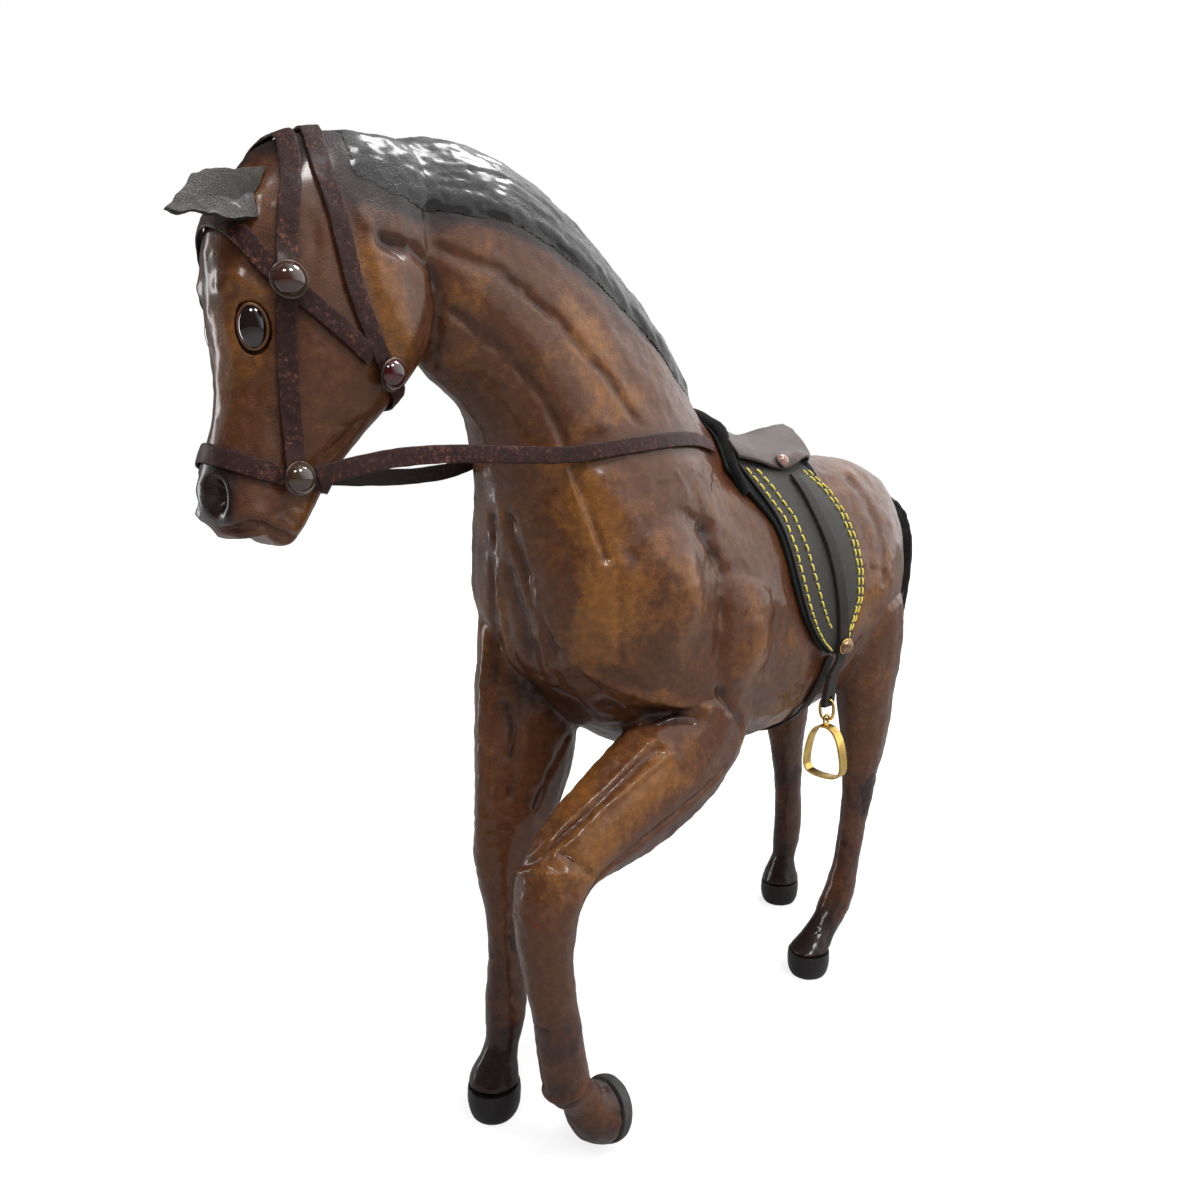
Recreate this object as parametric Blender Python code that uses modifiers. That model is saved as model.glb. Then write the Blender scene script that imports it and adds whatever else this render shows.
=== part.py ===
"""Leather covered horse figurine: a moulded core wrapped in glued leather, with bridle, saddle and stirrups.

Metres, +Z up. The horse faces -Y and its left side is +X. The origin is the middle of its box on the ground.
Tables give millimetres, with y = 0 at the right fore hoof, x = 0 at the middle and z = 0 on the ground.
"""

import math
from itertools import combinations

import bmesh
import bpy
from mathutils import Matrix, Vector
from mathutils.bvhtree import BVHTree

HEIGHT = 0.3063  # from the ground to the crest, in metres: every size below follows it
MM = HEIGHT / 306.3

# Leather and core
HIDE = 1 * MM  # leather over the core
SEAM = 0.3 * MM  # gap kept between two pieces that lie against each other
LAY = 0.45 * MM  # gap under a piece that follows a rounded surface

# Armature
PIN_RADIUS = 1.4 * MM
DOWEL_RADIUS = 3.5 * MM
BORE_CLEARANCE = 0.3 * MM

# Hoof caps
RAISED_HOOF_LENGTH = 5 * MM

# Head fittings
EYE_WIDTH = 7.4 * MM
EYE_HEIGHT = 10.6 * MM
EYE_DEPTH = 5.4 * MM
EAR_THICKNESS = 1.2 * MM
STUD_RADIUS = 4 * MM
STUD_HEIGHT = 3.4 * MM

# Straps
STRAP_WIDTH = 4.7 * MM
STRAP_THICKNESS = 0.8 * MM
REIN_WIDTH = 4.8 * MM
REIN_THICKNESS = 0.9 * MM

# Mane and tail
MANE_THICKNESS = 1.4 * MM
TAIL_WIDTH = 10.5 * MM
TAIL_THICKNESS = 3 * MM

# Saddle
PAD_THICKNESS = 1.2 * MM
FLAP_THICKNESS = 1 * MM
SKIRT_THICKNESS = 1.2 * MM
STIRRUP_STRAP_WIDTH = 5.2 * MM
STIRRUP_STRAP_THICKNESS = 1.3 * MM
GIRTH_WIDTH = 6 * MM
GIRTH_THICKNESS = 1 * MM
SADDLE_STUD_RADIUS = 3 * MM
SADDLE_STUD_HEIGHT = 2.6 * MM

# Stirrups
STRAP_DROP = 21.2 * MM  # from the flap's tip to the strap's lower end
EYELET_RADIUS = 1.3 * MM
EYELET_INSET = 3 * MM  # eyelet's centre above the strap's lower end
RING_WIRE = 0.7 * MM  # wire radius
RING_WIDTH = 7.4 * MM
RING_HEIGHT = 9.8 * MM
EYE_WIRE = 0.55 * MM
EYE_RADIUS = 1.9 * MM  # to the middle of the wire
STIRRUP_BAND = 4.6 * MM
STIRRUP_WALL = 0.9 * MM

# Cages
TRUNK_SIDES = 12
LEG_SIDES = 6
HEAD_SIDES = 10

# Trunk and neck from the buttocks to the throat: top (y, z), bottom (y, z), half width,
# how much wider the lower half is than the upper, and the lower half's roundness
TRUNK = [
    ((226, 196), (221, 172), 8, 0.0, 1.0),
    ((220, 207), (214, 148), 17, 0.0, 1.0),
    ((206, 217), (203, 131), 26, 0.0, 0.95),
    ((186, 221.5), (185, 120), 32, 0.0, 0.9),
    ((160, 222), (160, 117), 34.5, 0.0, 0.9),
    ((130, 221), (133, 112), 36, 0.05, 0.95),
    ((105, 224.8), (108, 111), 37, 0.08, 0.95),
    ((89.6, 229.2), (82, 114), 37, 0.20, 0.9),
    ((79.8, 239.7), (56, 119), 36, 0.35, 0.85),
    ((69.8, 255), (34, 130), 35, 0.42, 0.8),
    ((57, 268.8), (15, 148), 33.6, 0.42, 0.75),
    ((42, 280), (5, 168), 27, 0.38, 0.75),
    ((27, 290.6), (2, 190), 21.5, 0.22, 0.85),
    ((11, 299), (-3, 211.5), 18.5, 0.05, 0.95),
    ((-8, 303.5), (-6, 232.3), 17, 0.0, 1.0),
    ((-28, 304), (-22, 241), 15.5, 0.0, 1.0),
    ((-48, 296.5), (-37, 253.5), 10, 0.0, 1.0),
]

# Muscles that swell the trunk on both sides: centre (x, y, z), reach, height
MUSCLES = [
    ((30, 28, 186), 22, 5.0),
    ((33, 64, 162), 22, 3.0),
    ((30, 15, 167), 18, 4.0),
    ((30, 172, 185), 26, 2.5),
    ((26, 196, 150), 22, 2.5),
]

# Head from the poll to the lips: front (y, z), back (y, z), half width
HEAD = [
    ((-61, 298), (-37, 302.5), 9),
    ((-70, 294), (-28, 294), 14),
    ((-78, 285), (-25, 279), 17),
    ((-84, 273), (-25, 263), 18.5),
    ((-85.5, 261), (-28, 249), 18.5),
    ((-83.5, 248), (-37, 238), 17),
    ((-83, 236), (-47, 228), 13.5),
    ((-85.6, 225), (-56.5, 218.5), 11.5),
    ((-90.2, 215.5), (-62, 210.5), 12),
    ((-88.5, 206.5), (-65, 204.5), 11.5),
    ((-82.5, 201.3), (-69, 200.8), 8),
]
DOWEL_LINE = [(0, -60, 270), (0, -10, 266)]

# Legs from inside the body to the hoof cap: centre (x, y, z), half width, half depth
LEGS = {
    "front_right": [
        ((-20, 26, 168), 12, 18),
        ((-17.8, 22.5, 145), 12.6, 19.6),
        ((-15.6, 22.8, 126), 11.6, 22.8),
        ((-13.2, 15.8, 109), 10.2, 18.8),
        ((-11.6, 8.7, 93), 8.8, 12.7),
        ((-12, 8.2, 80), 6.7, 8.4),
        ((-12.9, 8.8, 58), 5.8, 6.5),
        ((-12.5, 8.6, 34), 6.6, 7.9),
        ((-11, 5.3, 23.5), 5.4, 5.6),
        ((-10.8, 2.3, 17), 7.6, 7.9),
        ((-10.6, 0.8, 11), 9, 9.3),
    ],
    "front_left": [
        ((24, 74, 149.5), 13, 23.5),
        ((25, 63, 129.5), 14, 25.3),
        ((26, 43.5, 118.4), 13.5, 21.8),
        ((26.5, 22.5, 112), 12.5, 18.3),
        ((27, 4.6, 106.6), 11.5, 14),
        ((27, -8, 99), 10.5, 11.3),
        ((27, -9, 78), 8.5, 8.7),
        ((27.5, -5.5, 58), 7.1, 7.4),
        ((27.8, -2, 38), 7.0, 7.8),
        ((27.6, -1.5, 31), 7.5, 8.3),
        ((27.6, 3.5, 26), 5.4, 5.4),
        ((27.5, 6.5, 20.5), 6.6, 6.7),
        ((27.4, 9.5, 15.8), 8.8, 9.7),
        ((27.4, 15.2, 13), 9.9, 10.6),
    ],
    "hind_left": [
        ((22, 178, 160), 13, 24),
        ((22, 181, 140), 13, 20),
        ((21.8, 183, 122), 11, 16),
        ((21.6, 184, 102), 9, 12.6),
        ((21.3, 183.3, 82), 7.0, 10.8),
        ((21, 179.8, 64), 5.4, 7.6),
        ((20.5, 175, 40), 5.1, 6.8),
        ((20, 170, 26), 5.8, 8.2),
        ((19, 160, 17.5), 5.8, 6.6),
        ((18, 151.3, 10.6), 8.7, 9.6),
    ],
    "hind_right": [
        ((-22, 182, 160), 13, 24),
        ((-22, 186, 140), 13, 20),
        ((-23, 189, 122), 11, 16),
        ((-24, 192, 102), 9, 12.6),
        ((-26, 196.3, 80), 6.9, 10.2),
        ((-26.5, 199.7, 60), 5.5, 7.6),
        ((-27.2, 202.3, 37), 6.0, 8.8),
        ((-28.3, 200.5, 25), 4.6, 5.2),
        ((-28.5, 199, 18.5), 7.2, 7.8),
        ((-28.5, 198, 10.8), 9, 9.9),
    ],
}

# Hoof's outline: share of its height down from the leg, width over the leg's last ring
HOOF_BOWL = [(0, 1), (0.3, 1.03), (0.6, 1.01), (0.85, 0.94), (1, 0.82)]
HOOF_WAYS = {
    "front_right": (0, 0, -1),
    "front_left": (0, 0.985, -0.173),
    "hind_left": (0, 0, -1),
    "hind_right": (0, 0, -1),
}
LEG_PINS = {
    "front_right": [(-20, 27, 160), (-15.5, 14, 112)],
    "front_left": [(23.5, 82, 152), (26, 34, 116)],
    "hind_left": [(22, 178, 160), (21.6, 184, 104)],
    "hind_right": [(-22, 181, 160), (-24, 191.5, 104)],
}

# Bridle routes on the horse's left side, as (x, y, z) near the head's surface
HEADPIECE = [
    (0, -67, 298), (8, -67.5, 293), (13, -69.5, 283), (15, -72, 273), (15.6, -73.3, 260),
    (15, -73.6, 248), (13, -72.7, 234), (12, -72, 225), (11.8, -72.6, 216.8),
]  # fmt: skip
THROATLATCH = [
    (0, -60, 301), (7.5, -61.5, 297), (14, -63, 288), (17, -61.5, 279), (18.2, -59.8, 269),
    (18.4, -57.5, 259), (17.5, -53, 249.5), (15.2, -48, 242), (11, -43, 238.3), (0, -40, 236.5),
]  # fmt: skip
BROWBAND = [
    (0, -84.5, 275), (8, -81.2, 272), (13.2, -77.9, 265.3), (15.6, -73.3, 260),
    (17.2, -67.5, 255.6), (17.4, -62, 251.5), (17.3, -58.4, 248.9),
]  # fmt: skip
NOSEBAND = [
    (0, -88, 222.8), (6.5, -85.5, 221.3), (10.6, -80, 218.9), (11.8, -72.6, 216.8),
    (11, -66, 216), (7, -61.5, 215.5), (0, -59, 215.5),
]  # fmt: skip
BROW_STUD, THROAT_STUD, BIT_STUD = (15.6, -73.3, 260), (15.2, -48, 242), (11.8, -72.6, 216.8)
REIN_LEFT = [
    (15, -68, 216.8), (17, -56, 220.2), (18.5, -40, 222.2), (20.5, -22, 222.4),
    (22.5, -4, 222), (24.5, 8, 222.2),
]  # fmt: skip
REIN_RIGHT = [
    (15, -68, 216.6), (16, -54, 216.6), (17, -40, 215.8), (19, -24, 215.6),
    (21.5, -6, 216.6), (24, 7, 219.4),
]  # fmt: skip
REIN_ON_NECK = [(25.5, 18, 223.4), (27.5, 32, 225), (27, 48, 226.6), (24.5, 62, 227), (25, 75.5, 226.7)]
EYE_PLACE = (10.1, -78.9, 250.5)
EYE_FACING = (0.74, -0.66, -0.08)
EARS = {
    "left": [(8.5, -71, 285), (10.5, -74.5, 273.8), (14.5, -98.5, 270.5), (11.5, -91.5, 280.2)],
    "right": [(-7.5, -71, 277), (-7.5, -80, 275), (-12, -81, 286.5), (-12, -75, 287.5)],
}
EAR_FACING = {"left": (0.95, 0, 0.3), "right": (-0.85, 0, 0.5)}
EAR_CUP = 1.2

# Mane: crest (y, z) and lower edge (x, y, z), from behind the ears to the withers
MANE = [
    ((-55, 300), (15.6, -55, 284)),
    ((-43, 304), (15.4, -43, 284)),
    ((-29, 305), (13.5, -29, 285)),
    ((-16, 304.5), (14.4, -17, 285)),
    ((-3, 303.5), (14.4, -4, 284.5)),
    ((10, 300), (14.4, 8, 281.5)),
    ((25, 293), (14, 23, 276)),
    ((40, 281), (13.5, 36, 270)),
    ((54, 268), (13.6, 47, 264)),
    ((67, 254), (14.2, 56, 256.5)),
    ((83, 239), (16, 66, 246)),
]
TAIL = [
    (216, 200), (230, 202), (241, 198), (249.5, 188.5), (253.5, 176), (253, 163), (249, 148),
    (246, 132), (245, 118), (243.5, 103), (241.5, 88),
]  # fmt: skip

# Saddle, round the trunk's line at SADDLE_AXIS_Z: angle from the top in degrees, front y, back y
SADDLE_AXIS_Z = 168
FLAP = [
    (20, 80.5, 131), (33, 90, 140), (45, 98.5, 144), (60, 100, 146.5), (75, 101.5, 147.5),
    (90, 105, 147), (102, 111, 143.5), (112, 119, 138.5), (119, 128.5, 134.5),
]  # fmt: skip
PAD = [
    (0, 86, 150), (13, 83, 147), (26, 77, 139), (33, 85, 139.5), (45, 95.5, 143),
    (60, 97, 145.5), (75, 98.5, 146.5), (90, 102, 146), (102, 108, 142.5), (112, 116.5, 137.5),
    (119.5, 126.5, 134.5),
]  # fmt: skip
STIRRUP_LEATHER = [(28, 117), (43, 121), (58, 124), (75, 126), (90, 128), (104, 130.3), (117, 131.5)]
GIRTH_START = 123
GIRTH_Y = (131.0, 128.0)
SEAT = [
    (88, 26, 0.2), (93, 26, 0.7), (99, 26, 0.5), (107, 26, 0.7), (115, 26, 1.8), (122, 25.5, 3.4),
    (128, 24, 5.4), (134, 21, 6.9), (140, 18, 7.4), (146, 14.5, 6.6), (151, 11, 4.2), (154, 8, 0.4),
]  # fmt: skip
SADDLE_STUD_PLACE = (24, 111.5)  # angle, y
RIVET_PLACE = (113, 131)  # angle, y
STIRRUP_OUTLINE = [
    (0, -2.3), (2.7, -2.8), (4.8, -4.6), (6.4, -8), (7.5, -12.5), (8.1, -17), (7.9, -19.6),
    (6.6, -21.6), (3.5, -22.4), (0, -22.6),
]  # fmt: skip
# Hanging end of the strap: share of the drop, inner face's distance from the middle, half width, thickness
STRAP_HANG = [(0.12, 38.5, 2.7, 1.5), (0.3, 36.0, 2.9, 1.8), (0.5, 34.6, 3.1, 2.1), (1, 33.4, 3.4, 2.4)]

# Where the lines between a sheet's points are tested against what lies under them
SAMPLES = [step / 8 for step in range(9)]

COLOURS = {
    "hide": ((0.17, 0.065, 0.025), 0.35, 0.0),
    "core": ((0.55, 0.47, 0.36), 0.9, 0.0),
    "wood": ((0.6, 0.42, 0.24), 0.7, 0.0),
    "wire": ((0.45, 0.45, 0.45), 0.45, 1.0),
    "black": ((0.02, 0.019, 0.018), 0.4, 0.0),
    "strap": ((0.07, 0.03, 0.022), 0.55, 0.0),
    "taupe": ((0.15, 0.11, 0.09), 0.55, 0.0),
    "flap": ((0.07, 0.066, 0.062), 0.6, 0.0),
    "glass": ((0.03, 0.005, 0.005), 0.08, 0.0),
    "brass": ((0.75, 0.52, 0.12), 0.3, 1.0),
}


def clear_scene():
    for item in list(bpy.data.objects):
        bpy.data.objects.remove(item)


def make_collection(name):
    collection = bpy.data.collections.new(name)
    bpy.context.scene.collection.children.link(collection)
    return collection


def material(kind, name):
    colour, roughness, metallic = COLOURS[kind]
    finish = bpy.data.materials.new(name + "_finish")
    finish.use_nodes = True
    shader = finish.node_tree.nodes["Principled BSDF"]
    shader.inputs["Base Color"].default_value = (*colour, 1)
    shader.inputs["Roughness"].default_value = roughness
    shader.inputs["Metallic"].default_value = metallic
    return finish


def add_part(name, mesh, kind):
    mesh.materials.clear()
    mesh.materials.append(material(kind, name))
    item = bpy.data.objects.new(name, mesh)
    PARTS.objects.link(item)
    item.parent = ORIGIN
    return item


def add_cutter(name, mesh):
    item = bpy.data.objects.new(name, mesh)
    CUTTERS.objects.link(item)
    item.parent = ORIGIN
    item.hide_render = True
    item.display_type = "WIRE"
    return item


def evaluated_mesh(item):
    bpy.context.view_layer.update()
    graph = bpy.context.evaluated_depsgraph_get()
    return bpy.data.meshes.new_from_object(item.evaluated_get(graph))


def cage_gain(sides):
    """How much larger a cage of this many sides must be than the smooth ring it gives."""
    return 3 / (2 + math.cos(2 * math.pi / sides))


def power(value, exponent):
    return math.copysign(abs(value) ** exponent, value)


def oval_ring(first, last, half_width, sides, lean, roundness, first_roundness):
    """A ring in the plane through X and two (y, z) points, widest across X."""
    first = Vector((0, *first)) * MM
    last = Vector((0, *last)) * MM
    gain = cage_gain(sides)
    middle = (first + last) / 2
    half = (first - last) / 2 * gain
    ring = []
    for step in range(sides):
        angle = 2 * math.pi * step / sides
        bend = roundness if math.cos(angle) < 0 else first_roundness
        along = power(math.cos(angle), bend)
        across = power(math.sin(angle), bend)
        width = half_width * MM * gain * (1 - lean * math.cos(angle))
        ring.append(middle + half * along + Vector((width * across, 0, 0)))
    return ring


def limb_rings(stations, sides, hoof_way):
    """Rings square to the limb's own line, the last one square to the hoof's."""
    centres = [Vector(centre) * MM for centre, _, _ in stations]
    gain = cage_gain(sides)
    rings = []
    for index, (centre, (_, across, depth)) in enumerate(zip(centres, stations)):
        before = centres[max(index - 1, 0)]
        after = centres[min(index + 1, len(centres) - 1)]
        down = (after - before).normalized()
        if index == len(centres) - 1:
            down = hoof_way
        forward = down.cross(Vector((1, 0, 0))).normalized()
        side = forward.cross(down).normalized()
        ring = []
        for step in range(sides):
            angle = 2 * math.pi * step / sides
            ring.append(
                centre
                + side * (across * MM * gain * math.sin(angle))
                + forward * (depth * MM * gain * math.cos(angle))
            )
        rings.append(ring)
    return rings


def loft(name, rings, first_cap=True, last_cap=True, closed=False):
    """A skin through rings of equal count, with its faces turned outwards."""
    mesh = bpy.data.meshes.new(name)
    builder = bmesh.new()
    rows = [[builder.verts.new(point) for point in ring] for ring in rings]
    sides = len(rows[0])
    pairs = list(zip(rows, rows[1:]))
    if closed:
        pairs.append((rows[-1], rows[0]))
    for row, following in pairs:
        for step in range(sides):
            ahead = (step + 1) % sides
            builder.faces.new((row[step], row[ahead], following[ahead], following[step]))
    if first_cap and not closed:
        builder.faces.new(reversed(rows[0]))
    if last_cap and not closed:
        builder.faces.new(rows[-1])
    bmesh.ops.recalc_face_normals(builder, faces=builder.faces)
    builder.to_mesh(mesh)
    builder.free()
    mesh.shade_smooth()
    return mesh


def slab(name, inner, outer, closed=False):
    """A sheet between two grids of points, closed round its edges."""
    mesh = bpy.data.meshes.new(name)
    builder = bmesh.new()
    low = [[builder.verts.new(point) for point in row] for row in inner]
    high = [[builder.verts.new(point) for point in row] for row in outer]
    count = len(low)
    width = len(low[0])
    for index in range(count if closed else count - 1):
        ahead = (index + 1) % count
        for side in (low, high):
            for step in range(width - 1):
                builder.faces.new(
                    (side[index][step], side[index][step + 1], side[ahead][step + 1], side[ahead][step])
                )
        for step in (0, width - 1):
            builder.faces.new((low[index][step], low[ahead][step], high[ahead][step], high[index][step]))
    if not closed:
        for index in (0, count - 1):
            for step in range(width - 1):
                builder.faces.new(
                    (low[index][step], low[index][step + 1], high[index][step + 1], high[index][step])
                )
    bmesh.ops.recalc_face_normals(builder, faces=builder.faces)
    builder.to_mesh(mesh)
    builder.free()
    return mesh


def rod_mesh(name, start, end, radius, sides=10):
    """A plain rod between two points."""
    mesh = bpy.data.meshes.new(name)
    builder = bmesh.new()
    line = end - start
    turn = line.to_track_quat("Z", "Y").to_matrix().to_4x4()
    place = Matrix.Translation((start + end) / 2) @ turn
    bmesh.ops.create_cone(
        builder, cap_ends=True, segments=sides, radius1=radius, radius2=radius, depth=line.length, matrix=place
    )
    builder.to_mesh(mesh)
    builder.free()
    return mesh


def wire_loop(name, points, normal, radius, sides=6):
    """A closed round wire through points that lie in one plane."""
    rings = []
    count = len(points)
    for index, point in enumerate(points):
        along = (points[(index + 1) % count] - points[index - 1]).normalized()
        side = along.cross(normal).normalized()
        rings.append(
            [
                point
                + normal * (radius * math.cos(2 * math.pi * step / sides))
                + side * (radius * math.sin(2 * math.pi * step / sides))
                for step in range(sides)
            ]
        )
    return loft(name, rings, closed=True)


def mirrored(points):
    """The left side's route continued onto the right, through the middle point it starts with."""
    return [(-x, y, z) for x, y, z in reversed(points[1:])] + list(points)


def resample(points, spacing, closed=False):
    """Points at an even spacing along a smooth curve through the given ones."""
    knots = [Vector(point) for point in points]
    count = len(knots)
    dense = []
    for index in range(count if closed else count - 1):
        if closed:
            before, first = knots[index - 1], knots[index]
            second, after = knots[(index + 1) % count], knots[(index + 2) % count]
        else:
            before, first = knots[max(index - 1, 0)], knots[index]
            second, after = knots[index + 1], knots[min(index + 2, count - 1)]
        for step in range(12):
            share = step / 12
            dense.append(
                0.5
                * (
                    2 * first
                    + (second - before) * share
                    + (2 * before - 5 * first + 4 * second - after) * share**2
                    + (3 * first - before - 3 * second + after) * share**3
                )
            )
    dense.append(dense[0].copy() if closed else knots[-1])
    lengths = [0.0]
    for first, second in zip(dense, dense[1:]):
        lengths.append(lengths[-1] + (second - first).length)
    pieces = max(2, round(lengths[-1] / spacing))
    found = []
    for piece in range(pieces if closed else pieces + 1):
        target = lengths[-1] * piece / pieces
        index = max(i for i in range(len(lengths) - 1) if lengths[i] <= target + 1e-9)
        share = (target - lengths[index]) / (lengths[index + 1] - lengths[index])
        found.append(dense[index].lerp(dense[index + 1], share) * MM)
    return found


def surface(*items):
    """One search tree over the finished shapes of these objects."""
    points = []
    faces = []
    for item in items:
        mesh = evaluated_mesh(item)
        start = len(points)
        points += [item.matrix_world @ vertex.co for vertex in mesh.vertices]
        faces += [[start + index for index in face.vertices] for face in mesh.polygons]
    return BVHTree.FromPolygons(points, faces)


def touch(tree, spot, way, reach):
    """The outermost point of the surface on the line through the spot."""
    return tree.ray_cast(spot + way * reach, -way, 2 * reach)[0]


def outward(tree, spot):
    """The surface's direction near a spot, averaged over its neighbourhood."""
    total = Vector()
    for axis in range(3):
        for reach in (-0.004, 0, 0.004):
            near = spot.copy()
            near[axis] += reach
            total += tree.find_nearest(near)[1]
    return total.normalized()


def lift_clear(tree, grid, ways, gap, reach, closed=False):
    """Lifts the grid's points until the faces between them keep the gap from the surface."""
    count = len(grid)
    width = len(grid[0])
    for _ in range(6):
        lift = [[0.0] * width for _ in grid]
        for index in range(count if closed else count - 1):
            ahead = (index + 1) % count
            for step in range(width - 1):
                corners = [(index, step), (index, step + 1), (ahead, step + 1), (ahead, step)]
                for (row, column), (other_row, other_column) in combinations(corners, 2):
                    for share in SAMPLES:
                        way = ways[row][column].lerp(ways[other_row][other_column], share).normalized()
                        spot = grid[row][column].lerp(grid[other_row][other_column], share)
                        hit = touch(tree, spot, way, reach)
                        if hit is None:
                            continue
                        short = gap - (spot - hit).dot(way)
                        if short > 0:
                            lift[row][column] = max(lift[row][column], short)
                            lift[other_row][other_column] = max(lift[other_row][other_column], short)
        for row in range(count):
            for column in range(width):
                grid[row][column] = grid[row][column] + ways[row][column] * lift[row][column]
    return grid


def drop(tree, spots, ways, gap, reach, closed=False):
    """Lays a grid of points on the surface, the gap above it."""
    grid = []
    for row, row_ways in zip(spots, ways):
        laid = []
        for spot, way in zip(row, row_ways):
            hit = touch(tree, spot, way, reach)
            laid.append((spot if hit is None else hit) + way * gap)
        grid.append(laid)
    return lift_clear(tree, grid, ways, gap, reach, closed)


def thicken(grid, ways, thickness):
    return [[spot + way * thickness for spot, way in zip(row, row_ways)] for row, row_ways in zip(grid, ways)]


def band_rows(points, ways, width, closed=False):
    """Both edges of a band that runs through the points, and the band's directions there."""
    spots = []
    count = len(points)
    for index, (point, way) in enumerate(zip(points, ways)):
        before = points[index - 1] if closed or index else point
        after = points[(index + 1) % count] if closed or index < count - 1 else point
        across = way.cross(after - before).normalized() * (width / 2)
        spots.append([point - across, point + across])
    return spots, [[way, way] for way in ways]


def strap(name, route, width, thickness, kind, around, under, closed=False, spacing=4.2):
    """A band laid on the surface along a route."""
    points = resample(route, spacing, closed)
    spots, ways = band_rows(points, [outward(around, point) for point in points], width, closed)
    grid = drop(under, spots, ways, LAY, 0.006, closed)
    return add_part(name, slab(name, grid, thicken(grid, ways, thickness), closed), kind)


def smooth(item):
    modifier = item.modifiers.new("smooth", "SUBSURF")
    modifier.levels = 1
    modifier.render_levels = 1


def make_shell(item):
    modifier = item.modifiers.new("leather", "SOLIDIFY")
    modifier.thickness = HIDE
    modifier.offset = -1


def inflate(item, distance):
    modifier = item.modifiers.new("room", "DISPLACE")
    modifier.mid_level = 0
    modifier.strength = distance


def cut(item, *cutters):
    for cutter in cutters:
        modifier = item.modifiers.new("cut_" + cutter.name, "BOOLEAN")
        modifier.operation = "DIFFERENCE"
        modifier.solver = "EXACT"
        modifier.object = cutter


def core_mesh(name, cage, skin):
    """The cage drawn in until its flat faces clear the inside of the leather."""
    tree = surface(skin)
    finished = evaluated_mesh(skin)
    spots = [finished.vertices[index].co.copy() for index in range(len(cage.vertices))]
    inward = [-finished.vertices[index].normal for index in range(len(cage.vertices))]
    room = HIDE + SEAM
    depths = [room] * len(spots)
    for _ in range(5):
        placed = [spot + way * depth for spot, way, depth in zip(spots, inward, depths)]
        for face in cage.polygons:
            for first, second in combinations(face.vertices, 2):
                for share in SAMPLES:
                    spot = placed[first].lerp(placed[second], share)
                    near, normal, _, _ = tree.find_nearest(spot)
                    short = (spot - near).dot(normal) + room
                    if short > 0 and (near - spot).length < 2 * room:
                        depths[first] = max(depths[first], depths[first] + short / 2)
                        depths[second] = max(depths[second], depths[second] + short / 2)
    mesh = cage.copy()
    mesh.name = name
    for vertex, spot, way, depth in zip(mesh.vertices, spots, inward, depths):
        vertex.co = spot + way * depth
    return mesh


def swell(ring, centre):
    """Pushes the ring's points out from its middle near each muscle, the same on both sides."""
    for point in ring:
        for muscle, reach, height in MUSCLES:
            for side in (1, -1):
                peak = Vector((side * muscle[0], muscle[1], muscle[2])) * MM
                fall = math.exp(-(((point - peak).length / (reach * MM)) ** 2))
                point += (point - centre).normalized() * (height * MM * fall)


def side_point(place, side):
    """A left side point in millimetres, on the asked side and in metres."""
    return Vector((place[0] * side, place[1], place[2])) * MM


def build_forms():
    """Closed shapes of the trunk and the head, from which everything that touches them is made."""
    trunk = [
        oval_ring(top, bottom, width, TRUNK_SIDES, lean, roundness, 1.0)
        for top, bottom, width, lean, roundness in TRUNK
    ]
    for ring in trunk:
        swell(ring, sum(ring, Vector()) / len(ring))
    head = [oval_ring(front, back, width, HEAD_SIDES, 0, 0.85, 0.85) for front, back, width in HEAD]
    forms = {}
    for name, rings in (("body", trunk), ("head", head)):
        forms[name] = add_cutter(name + "_form", loft(name + "_form", rings))
        smooth(forms[name])
        forms[name + "_space"] = add_cutter(name + "_space", loft(name + "_space", rings))
        smooth(forms[name + "_space"])
        inflate(forms[name + "_space"], SEAM)
    forms["trunk_rings"] = trunk
    return forms


def build_armature(forms):
    """Dowels that join the cores, and the bores they sit in."""
    start, end = [Vector(point) * MM for point in DOWEL_LINE]
    along = (end - start).normalized() * SEAM
    add_part("neck_dowel", rod_mesh("neck_dowel", start, end, DOWEL_RADIUS, 12), "wood")
    forms["dowel_bore"] = add_cutter(
        "dowel_bore", rod_mesh("dowel_bore", start - along, end + along, DOWEL_RADIUS + BORE_CLEARANCE, 12)
    )
    for leg, points in LEG_PINS.items():
        start, end = [Vector(point) * MM for point in points]
        along = (end - start).normalized() * SEAM
        add_part("leg_pin_" + leg, rod_mesh("leg_pin_" + leg, start, end, PIN_RADIUS), "wire")
        forms["bore_" + leg] = add_cutter(
            "bore_" + leg, rod_mesh("bore_" + leg, start - along, end + along, PIN_RADIUS + BORE_CLEARANCE)
        )


def build_body(forms):
    bores = [forms["bore_" + leg] for leg in LEG_PINS]
    hide = add_part("body_hide", loft("body_hide", forms["trunk_rings"], last_cap=False), "hide")
    smooth(hide)
    make_shell(hide)
    cut(hide, forms["head_space"], *bores)
    core = add_part("body_core", core_mesh("body_core", forms["body"].data, forms["body"]), "core")
    cut(core, forms["head_space"], forms["dowel_bore"], *bores)


def eye_mesh(name, side, spare):
    """An upright oval glass bead, set in the side of the head."""
    mesh = bpy.data.meshes.new(name)
    builder = bmesh.new()
    bmesh.ops.create_uvsphere(builder, u_segments=12, v_segments=7, radius=1)
    facing = side_point(EYE_FACING, side).normalized()
    turn = facing.to_track_quat("Y", "Z").to_matrix().to_4x4()
    size = [(value / 2 + spare) for value in (EYE_WIDTH, EYE_DEPTH, EYE_HEIGHT)]
    place = Matrix.Translation(side_point(EYE_PLACE, side)) @ turn @ Matrix.Diagonal((*size, 1))
    bmesh.ops.transform(builder, matrix=place, verts=builder.verts)
    builder.to_mesh(mesh)
    builder.free()
    mesh.shade_smooth()
    return mesh


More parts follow.
